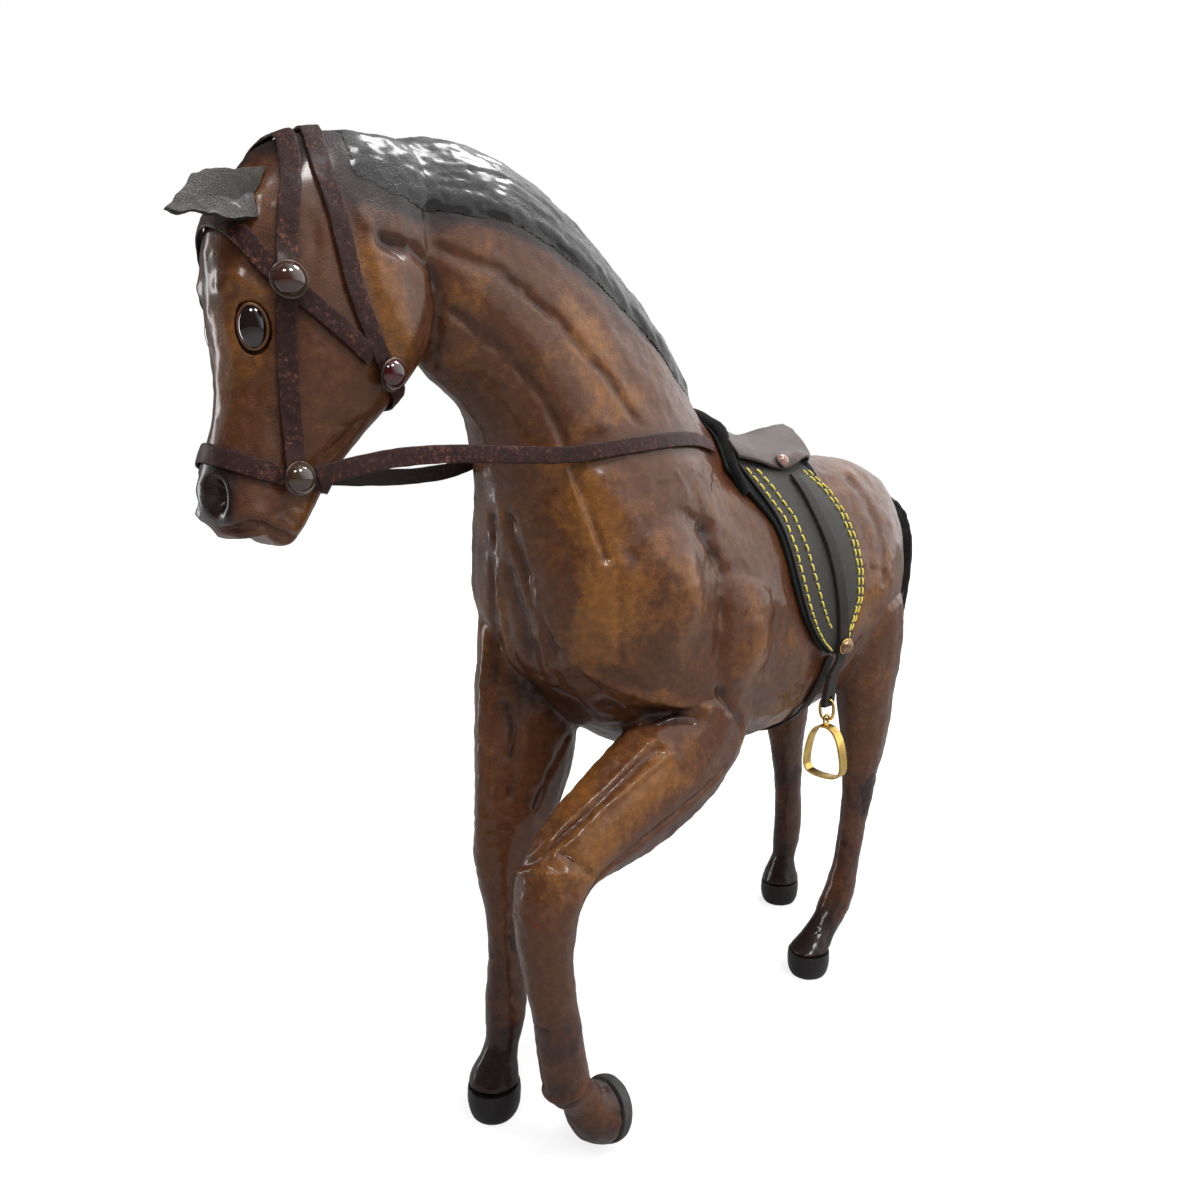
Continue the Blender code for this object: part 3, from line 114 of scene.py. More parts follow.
# Creases, folds and ridges pressed into the leather, in the same form
LINES = [
    (-1.2, 2.0, 1, [(13.6, -30, 273.7), (16.4, -12.8, 270), (18.5, 6.8, 259.1), (22.4, 23, 243.8),
        (28.3, 34.2, 226.5)]),
    (-1.4, 1.9, 1, [(12.5, -25.9, 259), (14.3, -11.5, 250.3), (17.9, 1.5, 237.4), (20.7, 6.8, 224.9),
        (24.8, 10.4, 209.3), (30.2, 13.6, 192.4)]),
    (0.8, 1.0, 1, [(21.5, 8.6, 224.5), (25.4, 12.4, 209), (30.2, 14.6, 194)]),
    (0.8, 1.0, 1, [(18.6, 4.6, 226), (23.4, 8.2, 210), (29, 11.6, 194)]),
    (-1.0, 1.8, 1, [(32.1, 16, 188.6), (33, 16.1, 175.9), (32.2, 18, 162.6)]),
    (-1.0, 3.4, 1, [(34.1, 21.7, 193.4), (33.9, 26.6, 201.3), (34.8, 38.2, 204.4), (34.5, 51.2, 200),
        (35.8, 58, 190.7)]),
    (-1.4, 3.4, 1, [(34.4, 55.7, 197.7), (36.8, 60.8, 185), (38.5, 59.1, 171.3), (38.5, 57.3, 157.3),
        (37, 59.7, 145.8)]),
    (-0.9, 3.0, 1, [(36.9, 61.9, 184.2), (35.7, 71.7, 185), (36.4, 80.7, 179.5)]),
    (-0.8, 4.0, 1, [(35.1, 43, 204), (34.5, 56, 200)]),
    (0.6, 1.4, 1, [(31.1, 42.3, 216.9), (32.4, 46, 210.9)]),
    (0.6, 1.4, 1, [(25.9, 65.9, 217.9), (29.4, 60.5, 211.8)]),
    (1.3, 1.7, 0, [(-6.7, 0.7, 195.9), (-6.5, 4.7, 172.4), (-9.1, 10, 157.3), (-6.2, 13.9, 151),
        (7, 13.4, 152)]),
    (1.2, 1.7, 0, [(10.1, 3, 183.9), (11.2, 5.4, 170.6), (7, 11.5, 154.8)]),
    (-1.9, 3.0, 0, [(0.7, 1.7, 187.1), (3.5, 4.2, 173.8), (2.1, 8.8, 159.2)]),
    (-1.6, 2.0, 1, [(-4, -0.9, 203.4), (-8, 2.3, 186.2), (-14, 8.1, 164), (-14.1, 5.9, 151.4)]),
    (-0.7, 3.0, 1, [(20.3, 5.2, 197.4), (21.8, 6.3, 188.6), (20.7, 8.1, 168.9)]),
    (-0.9, 1.1, 1, [(-17.1, 3.8, 148), (4.4, 13.8, 151), (13.6, 18.3, 146.4), (14.2, 27.8, 137.5)]),
    (1.3, 2.0, 1, [(22.9, 14, 157), (30.4, 26.1, 150), (34.2, 42.2, 144.2), (36.6, 53.5, 140.8)]),
    (-2.0, 3.4, 1, [(20.9, 22.5, 145.6), (29.6, 37.1, 140.9), (34.8, 46.9, 139.2)]),
    (-0.9, 1.7, 1, [(37.2, 59.3, 146.7), (37.8, 63.5, 138.6), (37.1, 71.9, 132.3)]),
    (0.9, 1.9, 0, [(15.1, 28.3, 137.6), (32, 30.5, 133.7), (34.9, 36.3, 132.3)]),
    (-0.6, 1.5, 0, [(36.8, 60.8, 143.5), (37.3, 70.5, 133.3), (36.7, 72.8, 126.9)]),
    (1.1, 1.3, 0, [(36.3, 36, 129.8), (34.5, 8, 119.1), (33.7, -2.9, 112.7), (27.6, -13.2, 104.8)]),
    (0.9, 1.3, 0, [(32.5, 29.7, 133), (32.5, 11.7, 123.8), (30.5, 0.2, 117.7), (28.4, -9.2, 110.5),
        (24.3, -11.1, 107)]),
    (-1.6, 1.5, 0, [(34, 32.3, 132), (33, 4.4, 120), (28.2, -10.6, 108.5), (23.2, -12.5, 104.3)]),
    (-1.1, 1.0, 0, [(37.1, 66.8, 120.5), (38.2, 46.1, 113.5), (37.9, 22.2, 106.6), (37.2, 5.3, 101.1),
        (36, -1.3, 94.3)]),
    (-1.3, 1.2, 0, [(33.3, -7.3, 109.6), (37.1, -2.9, 105.7), (37.8, 0.1, 102.5)]),
    (1.3, 1.3, 0, [(22.3, -14.2, 103.1), (31.5, -12, 104.6), (36.7, -5.8, 103.5)]),
    (-1.1, 2.6, 0, [(24.4, -15.2, 98.8), (32.9, -13.3, 99.8), (36.5, -7.9, 99.7)]),
    (-0.8, 1.2, 0, [(19, -15.5, 104), (19.5, -17, 97), (25.6, -17.1, 90.5)]),
    (-0.7, 1.0, 0, [(27.9, -16.7, 93.4), (32, -15.5, 91.5)]),
    (-0.6, 0.9, 0, [(22.8, -16.3, 89.1), (33.7, -14.1, 91.3), (35.8, -5, 88.5)]),
    (-0.5, 0.9, 0, [(27.3, -17.1, 83), (35.2, -6.2, 79.9)]),
    (-0.8, 2.4, 0, [(-9.8, 7.5, 142.1), (-7.6, 9.1, 134.7), (-5.4, 5.9, 113.3)]),
    (-0.9, 1.4, 0, [(-5.6, 31.5, 126.7), (-3.9, 21.5, 118), (-3.2, 14.5, 107.3)]),
    (-0.6, 0.9, 0, [(-17, -0.6, 104.2), (-8.4, -0.2, 107.9), (-5, 4.6, 106.8)]),
    (-0.6, 0.9, 0, [(-16.3, -0.9, 99.6), (-8, -0.6, 102.6), (-4.3, 4.8, 102.4)]),
    (-0.6, 0.9, 0, [(-16.3, -0.8, 95.2), (-7.8, -0.9, 98.5), (-4.8, 3.5, 98.5)]),
    (0.7, 1.7, 0, [(-14.6, 3.9, 143.2), (-11.4, 1.8, 126.5), (-8.7, 0.1, 111.2)]),
    (-1.8, 2.2, 1, [(17.8, -50, 272.2), (15.9, -39.1, 271.8), (12.7, -31.6, 268.9), (11.8, -29.3, 260.7),
        (7.4, -28.4, 250.9), (3.9, -26.5, 245.9)]),
    (-0.9, 1.8, 1, [(17.8, -56.5, 273.5), (17.9, -51.2, 272), (17.4, -44.2, 269.9)]),
    (1.1, 2.2, 1, [(5.8, -83.7, 259.6), (8.9, -82.2, 261), (12.2, -80, 260.2), (14.6, -76.6, 257)]),
    (-0.8, 1.4, 1, [(8.1, -81.1, 242.9), (12, -78, 243), (15, -73, 246)]),
    (-0.6, 2.0, 1, [(13.2, -75.8, 242.4), (11, -77.9, 237.9), (8.9, -80.2, 231.1)]),
    (-2.0, 1.3, 1, [(4, -86.2, 204.2), (6.6, -84.3, 205), (9.5, -82.2, 206.2), (10.4, -79.7, 205.8),
        (10, -77.1, 204.3), (7.6, -72.4, 203.2)]),
    (1.2, 1.8, 1, [(3, -87, 201.3), (6.6, -84, 201.8), (9.3, -81, 202.8), (10, -78, 202)]),
    (1.0, 2.0, 1, [(6.4, -87, 208.4), (9.4, -84, 209), (11, -81, 209)]),
    (-1.7, 1.2, 0, [(20.5, 0, 29.5), (21, -2, 28.6), (24, -6.4, 27.6), (28, -8, 27.2), (32, -6.4, 27.6),
        (34.8, -1, 29), (35, 3, 30)]),
    (1.1, 1.5, 0, [(20.5, 0, 32), (21, -2, 31.2), (24, -6.4, 30.4), (28, -8, 30), (32, -6.4, 30.4),
        (34.8, -1, 31.8), (35, 3, 33)]),
    (-0.8, 1.2, 1, [(11.7, -76.2, 208.9), (11.6, -73.3, 211.1), (10.6, -69.5, 210)]),
    (-5.0, 2.4, 1, [(5.4, -88.3, 216), (6.3, -88.6, 213.3), (5.6, -88.3, 211)]),
    (-0.9, 0.9, 1, [(9.8, -75, 206), (9, -72, 203), (7, -70, 201)]),
    (-0.8, 0.8, 1, [(10.6, -73, 207.6), (10.4, -70, 205.5), (9.4, -67, 204)]),
    (0.7, 1.0, 1, [(10.2, -74, 206.8), (9.6, -71, 204.2)]),
    (-0.5, 0.9, 0, [(-17.6, 2, 92), (-13, -4.5, 91), (-8, -4, 92)]),
    (-0.5, 0.9, 0, [(-17.8, 2, 88), (-13, -4.6, 86.5), (-7.6, -4, 88)]),
    (-0.5, 0.9, 0, [(-17, 3, 83.5), (-13, -3.6, 82), (-8, -2, 83)]),
    (-0.6, 1.0, 0, [(20.6, 176, 30), (20, 166, 24), (16, 166, 27)]),
    (-0.6, 1.0, 0, [(26, 168, 30), (24, 163, 24)]),
    (-0.7, 1.2, 1, [(28, 178, 118), (27, 186, 100), (25, 188, 84)]),
    (0.6, 1.2, 1, [(29.5, 176, 118), (28.2, 184, 100), (26, 186, 84)]),
    (-0.7, 1.4, 1, [(33, 160, 178), (34, 172, 160), (31, 184, 140)]),
    (0.5, 1.3, 1, [(7.6, -86, 218.4), (8.9, -86, 214), (8, -86.4, 208.7)]),
    (-0.5, 1.2, 1, [(13.5, -64.7, 230.6), (12.5, -58.9, 228.8), (12, -55.2, 229.9)]),
    (-0.6, 1.4, 1, [(11.1, -64.4, 220.6), (11.1, -59.4, 224.9), (12, -54.1, 230.4)]),
    (0.6, 1.1, 1, [(31.8, 35, 214.7), (29.6, 51.7, 217.4), (27.6, 67.1, 212.3)]),
    (0.5, 1.0, 1, [(29.6, 51.7, 217.4), (32, 53.9, 208)]),
    (-1.0, 3.0, 1, [(20, 166.1, 211.9), (30.2, 166.9, 196), (34.8, 167.2, 171.9)]),
    (-1.2, 2.2, 1, [(31, 158, 150), (33, 150, 142), (30, 140, 133)]),
    (-1.1, 2.2, 1, [(26, 205, 190), (30, 198, 170), (28, 199, 150)]),
    (-0.6, 1.3, 1, [(33, 110, 148), (34, 116, 160)]),
]

EYE_FACING = (0.74, -0.66, -0.08)
EYE_SIZE = (3.7, 5.3)  # half width and half height

# Dark glaze (below 0) and amber patches (above 0), with one entry of painted shade: strength, radius, both
# sides or not, points
STAINS = [
    (-1.0, 11, 1, [(4, -76, 296), (0, -60, 303), (0, -30, 308), (0, -5, 306), (0, 20, 297), (0, 45, 281),
        (0, 66, 258), (0, 86, 238)]),
    (-0.9, 7, 1, [(4, -88, 284), (3, -89, 270), (3, -89, 262)]),
    (-0.8, 8, 1, [(14, -30, 290), (14, -5, 286), (14, 20, 276), (14, 42, 262)]),
    (0.9, 5, 1, [(17, -68, 282), (15, -74, 279)]),
    (1.0, 7, 1, [(18, -56, 268), (18, -50, 258), (17, -46, 248)]),
    (0.6, 6, 1, [(11, -84, 257), (13, -79, 251)]),
    (0.9, 9, 1, [(22, 8, 222), (27, 14, 204), (30, 14, 182), (28, 12, 165)]),
    (0.7, 9, 1, [(18, 14, 260), (24, 26, 240)]),
    (0.8, 9, 1, [(38, 36, 184), (38, 38, 170)]),
    (0.7, 8, 1, [(38, 74, 168), (38, 72, 152)]),
    (0.9, 7, 0, [(36, 30, 124), (35, 8, 112), (33, -6, 104)]),
    (0.7, 7, 0, [(22, 20, 128), (24, 0, 118)]),
    # Painted shade where the chest meets the forelegs
    (-0.5, 8, 1, [(0, 12, 150), (14, 24, 142)]),
    (-0.8, 9, 0, [(-13, 14, 140), (-13, 10, 110), (-12, 8, 70), (-12, 8, 34)]),
    (-0.9, 9, 0, [(28, -6, 80), (28, -4, 30)]),
    (-3.6, 4.8, 1, [(5.4, -89, 216.4), (6.2, -89.4, 213.4), (5.4, -89, 210.4)]),
    (-1.8, 10, 1, [(4, -60, 302), (0, -40, 304), (12, -50, 292), (14, -34, 290), (0, -28, 306)]),
    (-0.7, 5, 1, [(11, -66, 286), (15, -58, 280), (17, -50, 276)]),
    (-2.4, 11, 0, [(-10.6, 1, 8), (-10.6, 1, 18)]),
    (-2.4, 11, 0, [(18, 153, 6), (18, 154, 15)]),
    (-2.4, 11, 0, [(-28.5, 199, 6), (-28.5, 200, 15)]),
    (-1.2, 12, 0, [(27.4, 9.5, 12), (27.4, 15, 16)]),
    (-0.9, 10, 0, [(22, 182, 80), (21, 176, 60), (19, 160, 18)]),
    (-0.9, 10, 0, [(-26, 200, 80), (-27, 196, 60), (-28, 196, 18)]),
    (0.6, 14, 1, [(34, 172, 180), (34, 150, 165)]),
    (0.5, 14, 1, [(30, 110, 140), (20, 120, 120)]),
]


def world(x, y, z):
    return Vector((x, y, z)) * MM + PLACE


def coordinates(mesh):
    points = np.empty(len(mesh.vertices) * 3)
    mesh.vertices.foreach_get("co", points)
    return points.reshape(-1, 3)


def place(mesh, points):
    mesh.vertices.foreach_set("co", points.ravel())
    mesh.update()


def normals(mesh):
    found = np.empty(len(mesh.vertices) * 3)
    mesh.vertex_normals.foreach_get("vector", found)
    return found.reshape(-1, 3)


def add_object(name, data):
    item = bpy.data.objects.new(name, data)
    bpy.context.scene.collection.objects.link(item)
    return item


@contextmanager
def edited(mesh):
    """The mesh opened for editing, and written back at the end."""
    work = bmesh.new()
    work.from_mesh(mesh)
    yield work
    work.to_mesh(mesh)
    work.free()


def evaluated(item):
    """A new mesh of what the object's modifiers or curve make."""
    bpy.context.view_layer.update()
    graph = bpy.context.evaluated_depsgraph_get()
    return bpy.data.meshes.new_from_object(item.evaluated_get(graph), depsgraph=graph)


def modify(item, kind, **values):
    modifier = item.modifiers.new(kind.lower(), kind)
    for key, value in values.items():
        setattr(modifier, key, value)
    return item


def bake(item):
    """Makes the modifiers' result the object's own mesh."""
    mesh = evaluated(item)
    item.modifiers.clear()
    item.data = mesh
    return item


def copied(name, *nodes):
    """A new object with the merged meshes of some CAD nodes."""
    work = bmesh.new()
    for node in nodes:
        work.from_mesh(frame["nodes"][node].data)
    bmesh.ops.remove_doubles(work, verts=work.verts, dist=MERGE)
    mesh = bpy.data.meshes.new(name)
    work.to_mesh(mesh)
    work.free()
    mesh.materials.clear()
    return add_object(name, mesh)


def keep_largest(item):
    """Keeps the largest joined surface of a remeshed form. A void that opens into the skin stays."""
    with edited(item.data) as work:
        left = set(work.verts)
        best = set()
        while left:
            start = left.pop()
            island = {start}
            edge = [start]
            while edge:
                here = edge.pop()
                for link in here.link_edges:
                    other = link.other_vert(here)
                    if other in left:
                        left.remove(other)
                        island.add(other)
                        edge.append(other)
            if len(island) > len(best):
                best = island
        gone = [vertex for vertex in work.verts if vertex not in best]
        bmesh.ops.delete(work, geom=gone, context="VERTS")


def smooth_values(mesh, values, count):
    """Evens out one number per point over the mesh."""
    ends = np.empty(len(mesh.edges) * 2, dtype=int)
    mesh.edges.foreach_get("vertices", ends)
    first, second = ends[::2], ends[1::2]
    size = len(values)
    links = np.bincount(first, minlength=size) + np.bincount(second, minlength=size)
    for _ in range(count):
        total = np.bincount(first, values[second], size) + np.bincount(second, values[first], size)
        values = 0.4 * values + 0.6 * total / np.maximum(links, 1)
    return values


def softened(name, node, bevel=0.3, levels=2, plain=0):
    """A copy of a CAD node with eased edges and smooth bends."""
    item = copied(name, node)
    flat, shape = math.radians(30), math.radians(80)
    with edited(item.data) as work:
        bmesh.ops.join_triangles(
            work, faces=work.faces, angle_face_threshold=flat, angle_shape_threshold=shape
        )
    if plain:
        bake(modify(item, "SUBSURF", subdivision_type="SIMPLE", levels=plain, render_levels=plain))
    if bevel:
        modify(item, "BEVEL", width=bevel * MM, segments=2, angle_limit=math.radians(42))
    return bake(modify(item, "SUBSURF", levels=levels, render_levels=levels))


def tube(name, paths, radius, closed=False, sides=3):
    """Round wire or thread along each path of points."""
    curve = bpy.data.curves.new(name, "CURVE")
    curve.dimensions = "3D"
    curve.bevel_depth = radius
    curve.bevel_resolution = sides
    curve.use_fill_caps = not closed
    for path in paths:
        line = curve.splines.new("POLY")
        line.points.add(len(path) - 1)
        for knot, spot in zip(line.points, path):
            knot.co = (*spot, 1)
        line.use_cyclic_u = closed
    item = add_object(name, curve)
    mesh = evaluated(item)
    bpy.data.objects.remove(item)
    with edited(mesh) as work:
        bmesh.ops.remove_doubles(work, verts=work.verts, dist=MERGE)
        bmesh.ops.recalc_face_normals(work, faces=work.faces)
    return add_object(name, mesh)


def distance_to(points, path):
    """Each point's distance to a line of points."""
    best = np.full(len(points), np.inf)
    for start, end in zip(path[:-1], path[1:]):
        way = end - start
        share = np.clip((points - start) @ way / (way @ way), 0, 1)
        best = np.minimum(best, np.linalg.norm(points - start - share[:, None] * way, axis=1))
    return best


def both(entries):
    """The table's entries as world points in metres, with the mirrored ones added."""
    for height, radius, mirror, path in entries:
        line = np.array([world(*point) for point in path])
        yield height * MM, radius * MM, line
        if mirror:
            yield height * MM, radius * MM, line * (-1, 1, 1)


def field(points, entries, wander=None):
    """The sum of the table's strokes at each point. Those that wander waver and have low lips."""
    total = np.zeros(len(points))
    for height, radius, line in both(entries):
        reach = radius * (2.6 if wander is None else 5)
        near = np.all((points > line.min(0) - reach) & (points < line.max(0) + reach), axis=1)
        if near.any():
            away = distance_to(points[near], line)
            if wander is None:
                total[near] += height * np.exp(-((away / radius) ** 2))
            else:
                away = np.abs(away + wander[near])
                lips = 0.25 * np.exp(-((away / radius / 2.2) ** 2))
                total[near] += height * (1.25 * np.exp(-((away / radius) ** 2)) - lips)
    return total


def tree_of(*items):
    vertices = []
    faces = []
    for item in items:
        start = len(vertices)
        vertices += [item.matrix_world @ vertex.co for vertex in item.data.vertices]
        faces += [[start + index for index in face.vertices] for face in item.data.polygons]
    return BVHTree.FromPolygons(vertices, faces)


def clearance(points, nodes, near, far):
    """0 where a point lies within near of the nodes, 1 beyond far."""
    tree = tree_of(*(frame["nodes"][node] for node in nodes))
    share = np.ones(len(points))
    for index, point in enumerate(points):
        hit = tree.find_nearest(Vector(point), far)
        if hit[0] is not None:
            share[index] = min(max((hit[3] - near) / (far - near), 0), 1)
    return share * share * (3 - 2 * share)


def rough(points, scale, seed, octaves=3):
    """Fractal noise at each point, about -1 to 1."""
    shift = Vector((seed * 7.3, seed * 3.1, seed * 5.7))
    return np.array([noise.fractal(Vector(point) / scale + shift, 1.0, 2.0, octaves) for point in points])


def roughen(item, points, scale, seed, octaves, height):
    """Sets the item's points, moved in and out along its normals by fractal noise."""
    lift = rough(points, scale, seed, octaves) * height
    place(item.data, points + normals(item.data) * lift[:, None])


def store_tone(mesh, tone):
    """Keeps each point's tone, below 0 for dark and above it for light, for the leather to read."""
    store = mesh.attributes.new("tone", "FLOAT", "POINT")
    store.data.foreach_set("value", tone.astype(np.float32))


# ---------------------------------------------------------------- materials


def fill(node, **values):
    """Sets a node's inputs by title, with an underscore for each space."""
    for title, value in values.items():
        node.inputs[title.replace("_", " ")].default_value = value


class Web:
    """Short calls for building a node tree."""

    def __init__(self, tree):
        self.tree = tree

    def node(self, kind, inputs=None, **values):
        item = self.tree.nodes.new(kind)
        for key, value in values.items():
            setattr(item, key, value)
        fill(item, **(inputs or {}))
        return item

    def link(self, start, end):
        self.tree.links.new(start, end)

    def coords(self, kind="Object"):
        return self.node("ShaderNodeTexCoord").outputs[kind]

    def math(self, operation, first, second, clamp=False):
        item = self.node("ShaderNodeMath", operation=operation, use_clamp=clamp)
        for slot, value in enumerate((first, second)):
            if isinstance(value, (int, float)):
                item.inputs[slot].default_value = value
            else:
                self.link(value, item.inputs[slot])
        return item.outputs[0]

    def swing(self, value, by):
        """A noise of 0 to 1 turned about 0 and multiplied."""
        return self.math("MULTIPLY", self.math("SUBTRACT", value, 0.5), by)

    def scaled(self, vector, by):
        item = self.node("ShaderNodeVectorMath", operation="SCALE")
        self.link(vector, item.inputs[0])
        self.link(by, item.inputs["Scale"])
        return item.outputs[0]

    def ramp(self, source, low, high, start=0.0, end=1.0):
        span = {"From_Min": low, "From_Max": high, "To_Min": start, "To_Max": end}
        item = self.node("ShaderNodeMapRange", span, interpolation_type="SMOOTHSTEP")
        self.link(source, item.inputs["Value"])
        return item.outputs["Result"]

    def mix(self, share, first, second):
        item = self.node("ShaderNodeMix", data_type="RGBA")
        for socket, value in ((item.inputs[0], share), (item.inputs[6], first), (item.inputs[7], second)):
            if isinstance(value, tuple):
                socket.default_value = (*value, 1)
            else:
                self.link(value, socket)
        return item.outputs[2]

    def noise(self, coords, scale, detail, roughness=0.55, distortion=0.0, **values):
        look = {"Scale": scale, "Detail": detail, "Roughness": roughness, "Distortion": distortion}
        item = self.node("ShaderNodeTexNoise", look, **values)
        self.link(coords, item.inputs["Vector"])
        return item.outputs[0]

    def tint(self, shader, share, first, second):
        self.link(self.mix(share, first, second), shader.inputs["Base Color"])

    def bump(self, shader, height, strength, distance):
        item = self.node("ShaderNodeBump", {"Strength": strength, "Distance": distance})
        self.link(height, item.inputs["Height"])
        self.link(item.outputs["Normal"], shader.inputs["Normal"])


def leather_group():
    """Mottled, grained leather: colours in, colour, roughness and height out."""
    tree = bpy.data.node_groups.new("mottled_leather", "ShaderNodeTree")
    for title, kind, value in (
        ("Base", "Color", (0.17, 0.06, 0.02, 1)),
        ("Dark", "Color", (0.02, 0.012, 0.009, 1)),
        ("Light", "Color", (0.3, 0.12, 0.03, 1)),
        ("Tone", "Float", 0.0),
        ("Mottle", "Float", 1.0),
        ("Size", "Float", 1.0),
        ("Roughness", "Float", 0.4),
        ("Speck", "Float", 0.0),
    ):
        socket = tree.interface.new_socket(name=title, in_out="INPUT", socket_type="NodeSocket" + kind)
        socket.default_value = value
    for title, kind in (("Color", "Color"), ("Roughness", "Float"), ("Height", "Float")):
        tree.interface.new_socket(name=title, in_out="OUTPUT", socket_type="NodeSocket" + kind)
    web = Web(tree)
    inside = web.node("NodeGroupInput").outputs
    outside = web.node("NodeGroupOutput").inputs
    spot = web.scaled(web.coords(), inside["Size"])
    broad = web.noise(spot, 55, 5, 0.6, 0.4)
    fine = web.noise(spot, 420, 4, 0.65)
    streak = web.noise(spot, 150, 6, 0.7, 1.2)
    spread = web.math("ADD", web.swing(broad, 1.7), web.swing(streak, 0.9))
    spread = web.math("MULTIPLY", spread, inside["Mottle"])
    spots = web.swing(fine, inside["Speck"])
    tone = web.math("ADD", inside["Tone"], web.math("ADD", spread, spots))
    light = web.ramp(tone, 0.05, 0.85)
    dark = web.ramp(web.math("MULTIPLY", tone, -1.0), 0.05, 1.25)
    colour = web.mix(light, inside["Base"], inside["Light"])
    colour = web.mix(dark, colour, inside["Dark"])
    web.link(web.scaled(colour, web.ramp(fine, 0.35, 0.75, 0.78, 1.15)), outside["Color"])
    uneven = web.math("ADD", inside["Roughness"], web.swing(streak, 0.35))
    web.link(web.math("ADD", uneven, web.swing(fine, 0.2), True), outside["Roughness"])
    cells = web.node("ShaderNodeTexVoronoi", {"Scale": 1100}, feature="DISTANCE_TO_EDGE")
    web.link(spot, cells.inputs["Vector"])
    height = web.math("MULTIPLY", web.ramp(cells.outputs["Distance"], 0.0, 0.16), 0.25)
    wrinkle = web.noise(spot, 120, 4, 0.6, 0.6, noise_type="RIDGED_MULTIFRACTAL")
    for source, share in ((wrinkle, -0.35), (fine, 0.35), (streak, 0.6)):
        height = web.math("ADD", height, web.math("MULTIPLY", source, share))
    web.link(height, outside["Height"])
    return tree


LEATHER = leather_group()


def surface(name, roughness=0.5, metallic=0.0, coat=0.0, coat_rough=0.1, specular=0.5, sheen=0.0):
    finish = bpy.data.materials.new(name)
    finish.use_nodes = True
    shader = finish.node_tree.nodes["Principled BSDF"]
    fill(shader, Roughness=roughness, Metallic=metallic, Coat_Weight=coat, Coat_Roughness=coat_rough,
         Specular_IOR_Level=specular, Sheen_Weight=sheen)
    return finish, Web(finish.node_tree), shader


def leather(name, base, dark, light, bump, mottle=1.0, size=1.0, rough_at=0.4, coat=0.0, toned=False,
            speck=0.4, specular=0.4):
    finish, web, shader = surface(name, coat=coat, coat_rough=0.2, specular=specular)
    look = {"Base": (*base, 1), "Dark": (*dark, 1), "Light": (*light, 1), "Mottle": mottle, "Size": size,
            "Roughness": rough_at, "Speck": speck}
    mottled = web.node("ShaderNodeGroup", look, node_tree=LEATHER)
    if toned:
        tone = web.node("ShaderNodeAttribute", attribute_name="tone")
        web.link(tone.outputs["Fac"], mottled.inputs["Tone"])
    web.link(mottled.outputs["Color"], shader.inputs["Base Color"])
    web.link(mottled.outputs["Roughness"], shader.inputs["Roughness"])
    web.bump(shader, mottled.outputs["Height"], bump, 0.0005)
    return finish


def metal(name, base, tarnish, roughness):
    finish, web, shader = surface(name, metallic=1.0)
    coords = web.coords()
    broad = web.noise(coords, 260, 4, 0.6)
    web.tint(shader, web.ramp(broad, 0.35, 0.75), base, tarnish)
    web.link(web.ramp(broad, 0.3, 0.8, roughness - 0.06, roughness + 0.2), shader.inputs["Roughness"])
    web.bump(shader, web.noise(coords, 1500, 3, 0.6), 0.15, 0.0002)
    return finish


def gem(name, base, dark, roughness):
    finish, web, shader = surface(name, roughness, coat=1.0, coat_rough=0.03)
    web.tint(shader, web.ramp(web.noise(web.coords(), 180, 3, 0.5), 0.3, 0.7), base, dark)
    return finish


def felt(name, base):
    finish, web, shader = surface(name, 1.0, specular=0.05, sheen=0.08)
    coords = web.coords()
    fuzz = web.noise(coords, 1800, 5, 0.8)
    tuft = web.noise(coords, 300, 4, 0.6)
    # Painted highlight: the felt is lighter where its fuzz stands highest
    lift = tuple(value * 2.6 + 0.002 for value in base)
    web.tint(shader, web.ramp(fuzz, 0.35, 0.8), base, lift)
    web.bump(shader, web.math("ADD", fuzz, tuft), 0.6, 0.0006)
    return finish


def plain_wood(name, base, dark):
    finish, web, shader = surface(name, 0.75, specular=0.3)
    web.tint(shader, web.ramp(web.noise(web.coords(), 90, 8, 0.7, 1.5), 0.3, 0.7), base, dark)
    return finish


def thread(name, base, light):
    finish, web, shader = surface(name, 0.6, sheen=0.2)
    web.tint(shader, web.noise(web.coords(), 2500, 2), base, light)
    return finish


HIDE = leather("hide_leather", (0.082, 0.027, 0.009), (0.014, 0.006, 0.005), (0.18, 0.068, 0.013),
    bump=0.5, rough_at=0.46, coat=0.6, toned=True, specular=0.12)
HAIR = leather("hair_leather", (0.012, 0.011, 0.011), (0.004, 0.004, 0.004), (0.035, 0.033, 0.034),
    bump=0.6, mottle=0.6, coat=0.7, toned=True, specular=0.12)
SOLE = leather("sole_finish", (0.045, 0.043, 0.041), (0.018, 0.017, 0.016), (0.1, 0.09, 0.085),
    bump=0.4, size=1.5, rough_at=0.6)
HOOF = leather("hoof_finish", (0.008, 0.006, 0.006), (0.003, 0.003, 0.003), (0.03, 0.016, 0.012),
    bump=0.2, mottle=0.8, rough_at=0.36, coat=0.2, specular=0.3)
EAR = leather("ear_leather", (0.035, 0.032, 0.028), (0.012, 0.011, 0.01), (0.1, 0.083, 0.06),
    bump=0.4, mottle=1.4, size=1.6, coat=0.2, specular=0.3)
STRAP = leather("bridle_leather", (0.028, 0.009, 0.007), (0.008, 0.004, 0.003), (0.13, 0.045, 0.03),
    bump=0.6, size=2.0, rough_at=0.5, coat=0.05, speck=2.6, specular=0.2)
TAUPE = leather("seat_leather", (0.06, 0.04, 0.034), (0.025, 0.016, 0.014), (0.11, 0.078, 0.068),
    bump=0.15, mottle=0.5, size=1.5, rough_at=0.45, coat=0.05, specular=0.3)
GREY = leather("flap_leather", (0.034, 0.031, 0.027), (0.015, 0.014, 0.012), (0.06, 0.055, 0.048),
    bump=0.35, mottle=0.4, size=2.0, rough_at=0.6, speck=0.8)
